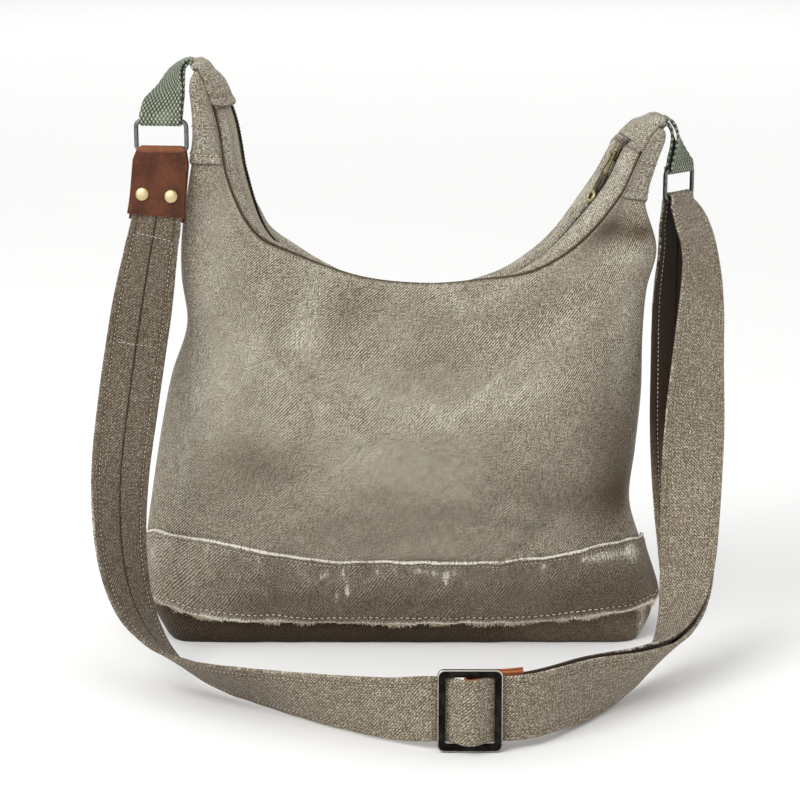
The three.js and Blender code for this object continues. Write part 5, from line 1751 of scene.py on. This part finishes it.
@dataclass
class Strap:
    """The strap in one length, its stitches, and the leather keeper at the buckle."""

    hardware: Hardware
    finishes: Finishes
    width: float = 40.0
    thick: float = 2.8
    gathered: float = 26.0
    opens: float = 18.0
    in_tab: float = 34.0
    keeper_thick: float = 1.4
    keeper_width: float = 36.0
    keeper_rise: float = 2.4
    bend: float = 0.013
    bend_from: float = 16.2
    seam_in: float = 5.0
    cross_seams: tuple[float, float] = (279.0, 210.0)
    per: int = 16

    def __post_init__(self) -> None:
        """Works out the layers at the buckle."""
        fit = self.hardware
        bar = math.hypot(fit.centre, fit.buckle_thick) / 2
        self.bar_clear = bar + fit.gap + self.keeper_thick / 2
        self.behind_bar = -(fit.buckle_thick + self.thick) / 2 - fit.gap - 0.2
        self.over_bar = self.bar_clear + (self.keeper_thick + self.thick) / 2 + fit.gap
        self.layer = (self.thick + self.keeper_thick) / 2 + fit.gap

    def behind(self, layers: float, *along: float) -> list[tuple[float, float]]:
        """Places right of the buckle, that many layers behind the strap, which bends back."""
        past = np.maximum(0, np.array(along) - self.bend_from)
        slant = np.hypot(1, 2 * self.bend * past)
        out = self.behind_bar - self.bend * past**2 - layers * self.layer * slant
        return list(zip(along, out))

    def in_buckle(self, rows: list[tuple[float, float]]) -> Array:
        """Sections at places along and out of the buckle, with their width upright."""
        fit = self.hardware
        along, out = np.array(rows).T
        at = fit.buckle_at + X_AXIS * along[:, None] + fit.buckle_out * out[:, None]
        return np.concatenate([at, np.broadcast_to(fit.buckle_up, at.shape)], axis=1)

    def build(self) -> None:
        """Makes the strap, its stitches and the keeper."""
        self.strap()
        self.keeper()

    def sections(self) -> Array:
        """The strap's whole course: tab, left stretch, buckle, outer stretch, ring and back."""
        fit = self.hardware
        ring = fit.right
        radius = ring.wire / 2 + fit.gap + self.thick / 2
        at = fit.on_tab(np.array([5.0, 18.0, 32.0, 48.0]), 0.0, 0.0)
        in_tab = np.concatenate([at, np.broadcast_to(-fit.tab_across, at.shape)], axis=1)
        through = self.in_buckle([
            (-27, self.behind_bar), (-self.bend_from, self.behind_bar - 0.4), (-8.2, 0.9),
            (-3, self.over_bar), (3, self.over_bar), (8.2, 0.9),
            (self.bend_from, self.behind_bar - 0.4), *self.behind(0, 25, 34, 45)])

        def seat(side: int) -> Array:
            """The section beside the ring's lower bar."""
            at = ring.low + ring.out * side * radius - Z_AXIS * 4
            return np.concatenate([at, ring.across])[None]

        back = alongside(STRAP_OUTER, 1)[::-1]
        ends = self.in_buckle(self.behind(2.3, 50, 38, 28, 17))
        there = np.concatenate([in_tab, STRAP_LEFT, through, STRAP_OUTER[:, :6], seat(-1)])
        return np.concatenate([
            course(there, self.per),
            round_bar(ring.low, -ring.out, Z_AXIS, radius, ring.across, 20),
            course(np.concatenate([seat(1), back, ends]), self.per)])

    def gather(self, at: Array) -> Array:
        """Share of the full width at each place: less in the tab, and least at the right ring."""
        fit = self.hardware
        away = np.linalg.norm(at - fit.right.low, axis=1)
        below_tab = np.linalg.norm(at - fit.left.low, axis=1) - fit.tab_front
        opened = np.sin(np.clip((away - 3) / self.opens, 0, 1) * math.pi / 2)
        wide = mix(self.in_tab, self.width, ramp(below_tab, 0, 70))
        return mix(self.gathered, wide, opened) / self.width

    def strap(self) -> None:
        """The strap: folded edges, a sewn channel inside each, and a butted seam at the back."""
        sections = self.sections()
        half = self.width / 2
        line = half - self.seam_in
        fine = np.array([-1.0, -0.5, 0.0, 0.5, 1.0])
        across = np.unique(np.round(np.concatenate([
            edged(-half, half, 26, 1.6), fine - line, fine + line, fine * 0.9]), 3))
        strip = lay(sections, across, self.gather(sections[:, :3]))
        run = strip.flat[:, :1, 1]
        round_off = hem_round(across, 1.5, 0.3)
        channel = 0.4 * bell(np.abs(across), line, 0.9)
        ripple = 0.16 * np.sin(run / 4.3 + 2 * np.sin(run / 31))
        ripple = np.minimum(0.1, ripple * bell(np.abs(across), half - 2, 2.5))
        slack = 0.12 * np.sin(run / 29) * np.cos(across / 14)
        butt = bell(across, 0, 0.55) * np.ones_like(run)
        face = self.thick / 2 * round_off - channel + ripple
        high, low = slack + face, slack - face + 0.9 * butt
        edge = bell(np.abs(across), half, 1.1)
        wear_and_highlight = edge * (0.36 + 0.22 * np.sin(run / 31)) + 0.16 * bell(np.abs(across), line - 6, 6)
        # Painted shade darkens the run from the tab down the left stretch. A painted shadow darkens
        # the under face from a little past half way to the end of the run, between the layers.
        left_stretch_shade = ramp(run[-1] * 0.3 - run, 0, 60)
        sewn = 0.36 * bell(np.abs(across), line, 0.8)
        grime_and_shade = 0.04 + 0.08 * np.sin(run / 60) ** 2 + 0.4 * left_stretch_shade + sewn
        inner_shadow = 0.95 * ramp(run, run[-1] * 0.52, run[-1] * 0.6)
        Form.shell(strip.grid, strip.normals, low, high, wear_and_highlight,
                   np.stack([grime_and_shade, grime_and_shade + 0.55 * butt + inner_shadow]), strip.flat).piece(
            "strap", self.finishes.strap, Slot.CANVAS)
        thread = Thread(2.1, 1.0, 0.26)
        shown = slice(56, -40)  # the sections between the tab and the keeper
        rows: list[Form] = []
        for at in (-line, line):
            column = int(np.abs(across - at).argmin())
            normals = strip.normals[shown, column]
            for turned, off in ((1, high), (-1, low)):
                path = strip.grid[shown, column] + normals * off[shown, column, None]
                rows.append(thread.row(path, turned * normals))
        inner = np.abs(across) < line
        for height in self.cross_seams:
            row = int(np.abs(sections[:len(sections) // 3, 2] - height).argmin())
            path = strip.grid[row] + strip.normals[row] * low[row, :, None]
            rows.append(thread.row(path[inner], -strip.normals[row][inner]))
        joined(rows).piece("strap_stitches", self.finishes.thread, Slot.CANVAS, extra=True)

    def keeper(self) -> None:
        """The leather keeper: folded round the buckle's centre bar, both ends behind the strap."""
        fit = self.hardware
        front = self.in_buckle([(3.4, self.bar_clear - 0.8), (8.6, -2.4),
                                *self.behind(1.2, self.bend_from, 22, 32)])
        back = self.in_buckle([(3.4, -self.bar_clear - 1), (8.6, -self.bar_clear - 5),
                               *self.behind(3.4, self.bend_from, 22, 32)])
        arc = round_bar(fit.buckle_at, fit.buckle_out, -X_AXIS, self.bar_clear, fit.buckle_up, 16)
        half = self.keeper_width / 2
        across = edged(-half, half, 24, 0.7)
        sections = np.concatenate([course(front, 8)[::-1], arc, course(back, 8)])
        past_frame = ramp(sections[:, 0] - fit.buckle_at[0], 9, 20)[:, None]
        sections[:, :3] += fit.buckle_up * (1.8 + self.keeper_rise * past_frame)
        strip = lay(sections, across)
        thick = self.keeper_thick / 2 * hem_round(across, 0.7, 0.3)
        Form.shell(strip.grid, strip.normals, -thick, thick, bell(np.abs(across), half, 1.0),
                   flat=strip.flat).piece("buckle_keeper", self.finishes.keeper, Slot.LEATHER)


@dataclass
class Studio:
    """Floor, soft lights and the camera."""

    eye: tuple[float, float, float] = (0.0, -1.36, 0.476)
    pitch: float = 13.0
    lens: float = 91.1
    frame_width: int = 800
    sky: float = 0.72

    def build(self) -> None:
        """Sets the stage."""
        self.floor()
        self.light("key", (-1.5, -1.5, 2.0), 1.6, 46.0, (0.1, 0.0, 0.15))
        self.light("fill", (1.9, -1.6, 1.2), 1.8, 7.0, (0.0, 0.0, 0.15))
        self.light("far", (0.0, 9.0, 5.0), 14.0, 330.0, (0.0, 9.0, 0.0))
        world = bpy.data.worlds.new("studio")
        world.use_nodes = True
        sky = world.node_tree.nodes["Background"]
        sky.inputs["Color"].default_value = (1.0, 1.0, 1.0, 1.0)
        sky.inputs["Strength"].default_value = self.sky
        bpy.context.scene.world = world
        bpy.context.scene.view_settings.view_transform = "Standard"
        camera = bpy.data.cameras.new("camera")
        camera.lens, camera.sensor_width = self.lens, 36.0
        camera.shift_x = -1 / self.frame_width
        seen = bpy.data.objects.new("camera", camera)
        seen.location = self.eye
        seen.rotation_euler = (math.radians(90 - self.pitch), 0, 0)
        bpy.context.scene.collection.objects.link(seen)
        bpy.context.scene.camera = seen

    def floor(self) -> None:
        """A wide plain floor."""
        mesh = bpy.data.meshes.new("floor")
        corners = np.array([(-40, -30, 0), (40, -30, 0), (40, 60, 0), (-40, 60, 0)], float)
        mesh.from_pydata(corners.tolist(), [], [(0, 1, 2, 3)])
        mesh.materials.append(FloorFinish("pale_floor").material())
        made = bpy.data.objects.new("floor", mesh)
        bpy.context.scene.collection.objects.link(made)

    def light(self, name: str, at: tuple[float, float, float], size: float, power: float,
              target: tuple[float, float, float]) -> None:
        """A square soft light that faces a target."""
        data = bpy.data.lights.new(name, "AREA")
        data.size, data.energy = size, power
        made = bpy.data.objects.new(name, data)
        made.location = at
        made.rotation_euler = (Vector(target) - Vector(at)).to_track_quat("-Z", "Y").to_euler()
        bpy.context.scene.collection.objects.link(made)


def main() -> None:
    """Builds the bag piece by piece, then the studio."""
    logging.basicConfig(level=logging.INFO, format="%(name)s %(message)s")
    finishes = Finishes()
    form = BodyForm()
    BagBody(form, finishes).build()
    ZipMouth(form, finishes).build()
    hardware = Hardware(finishes)
    hardware.build()
    Strap(hardware, finishes).build()
    Studio().build()


if __name__ == "__main__":
    main()
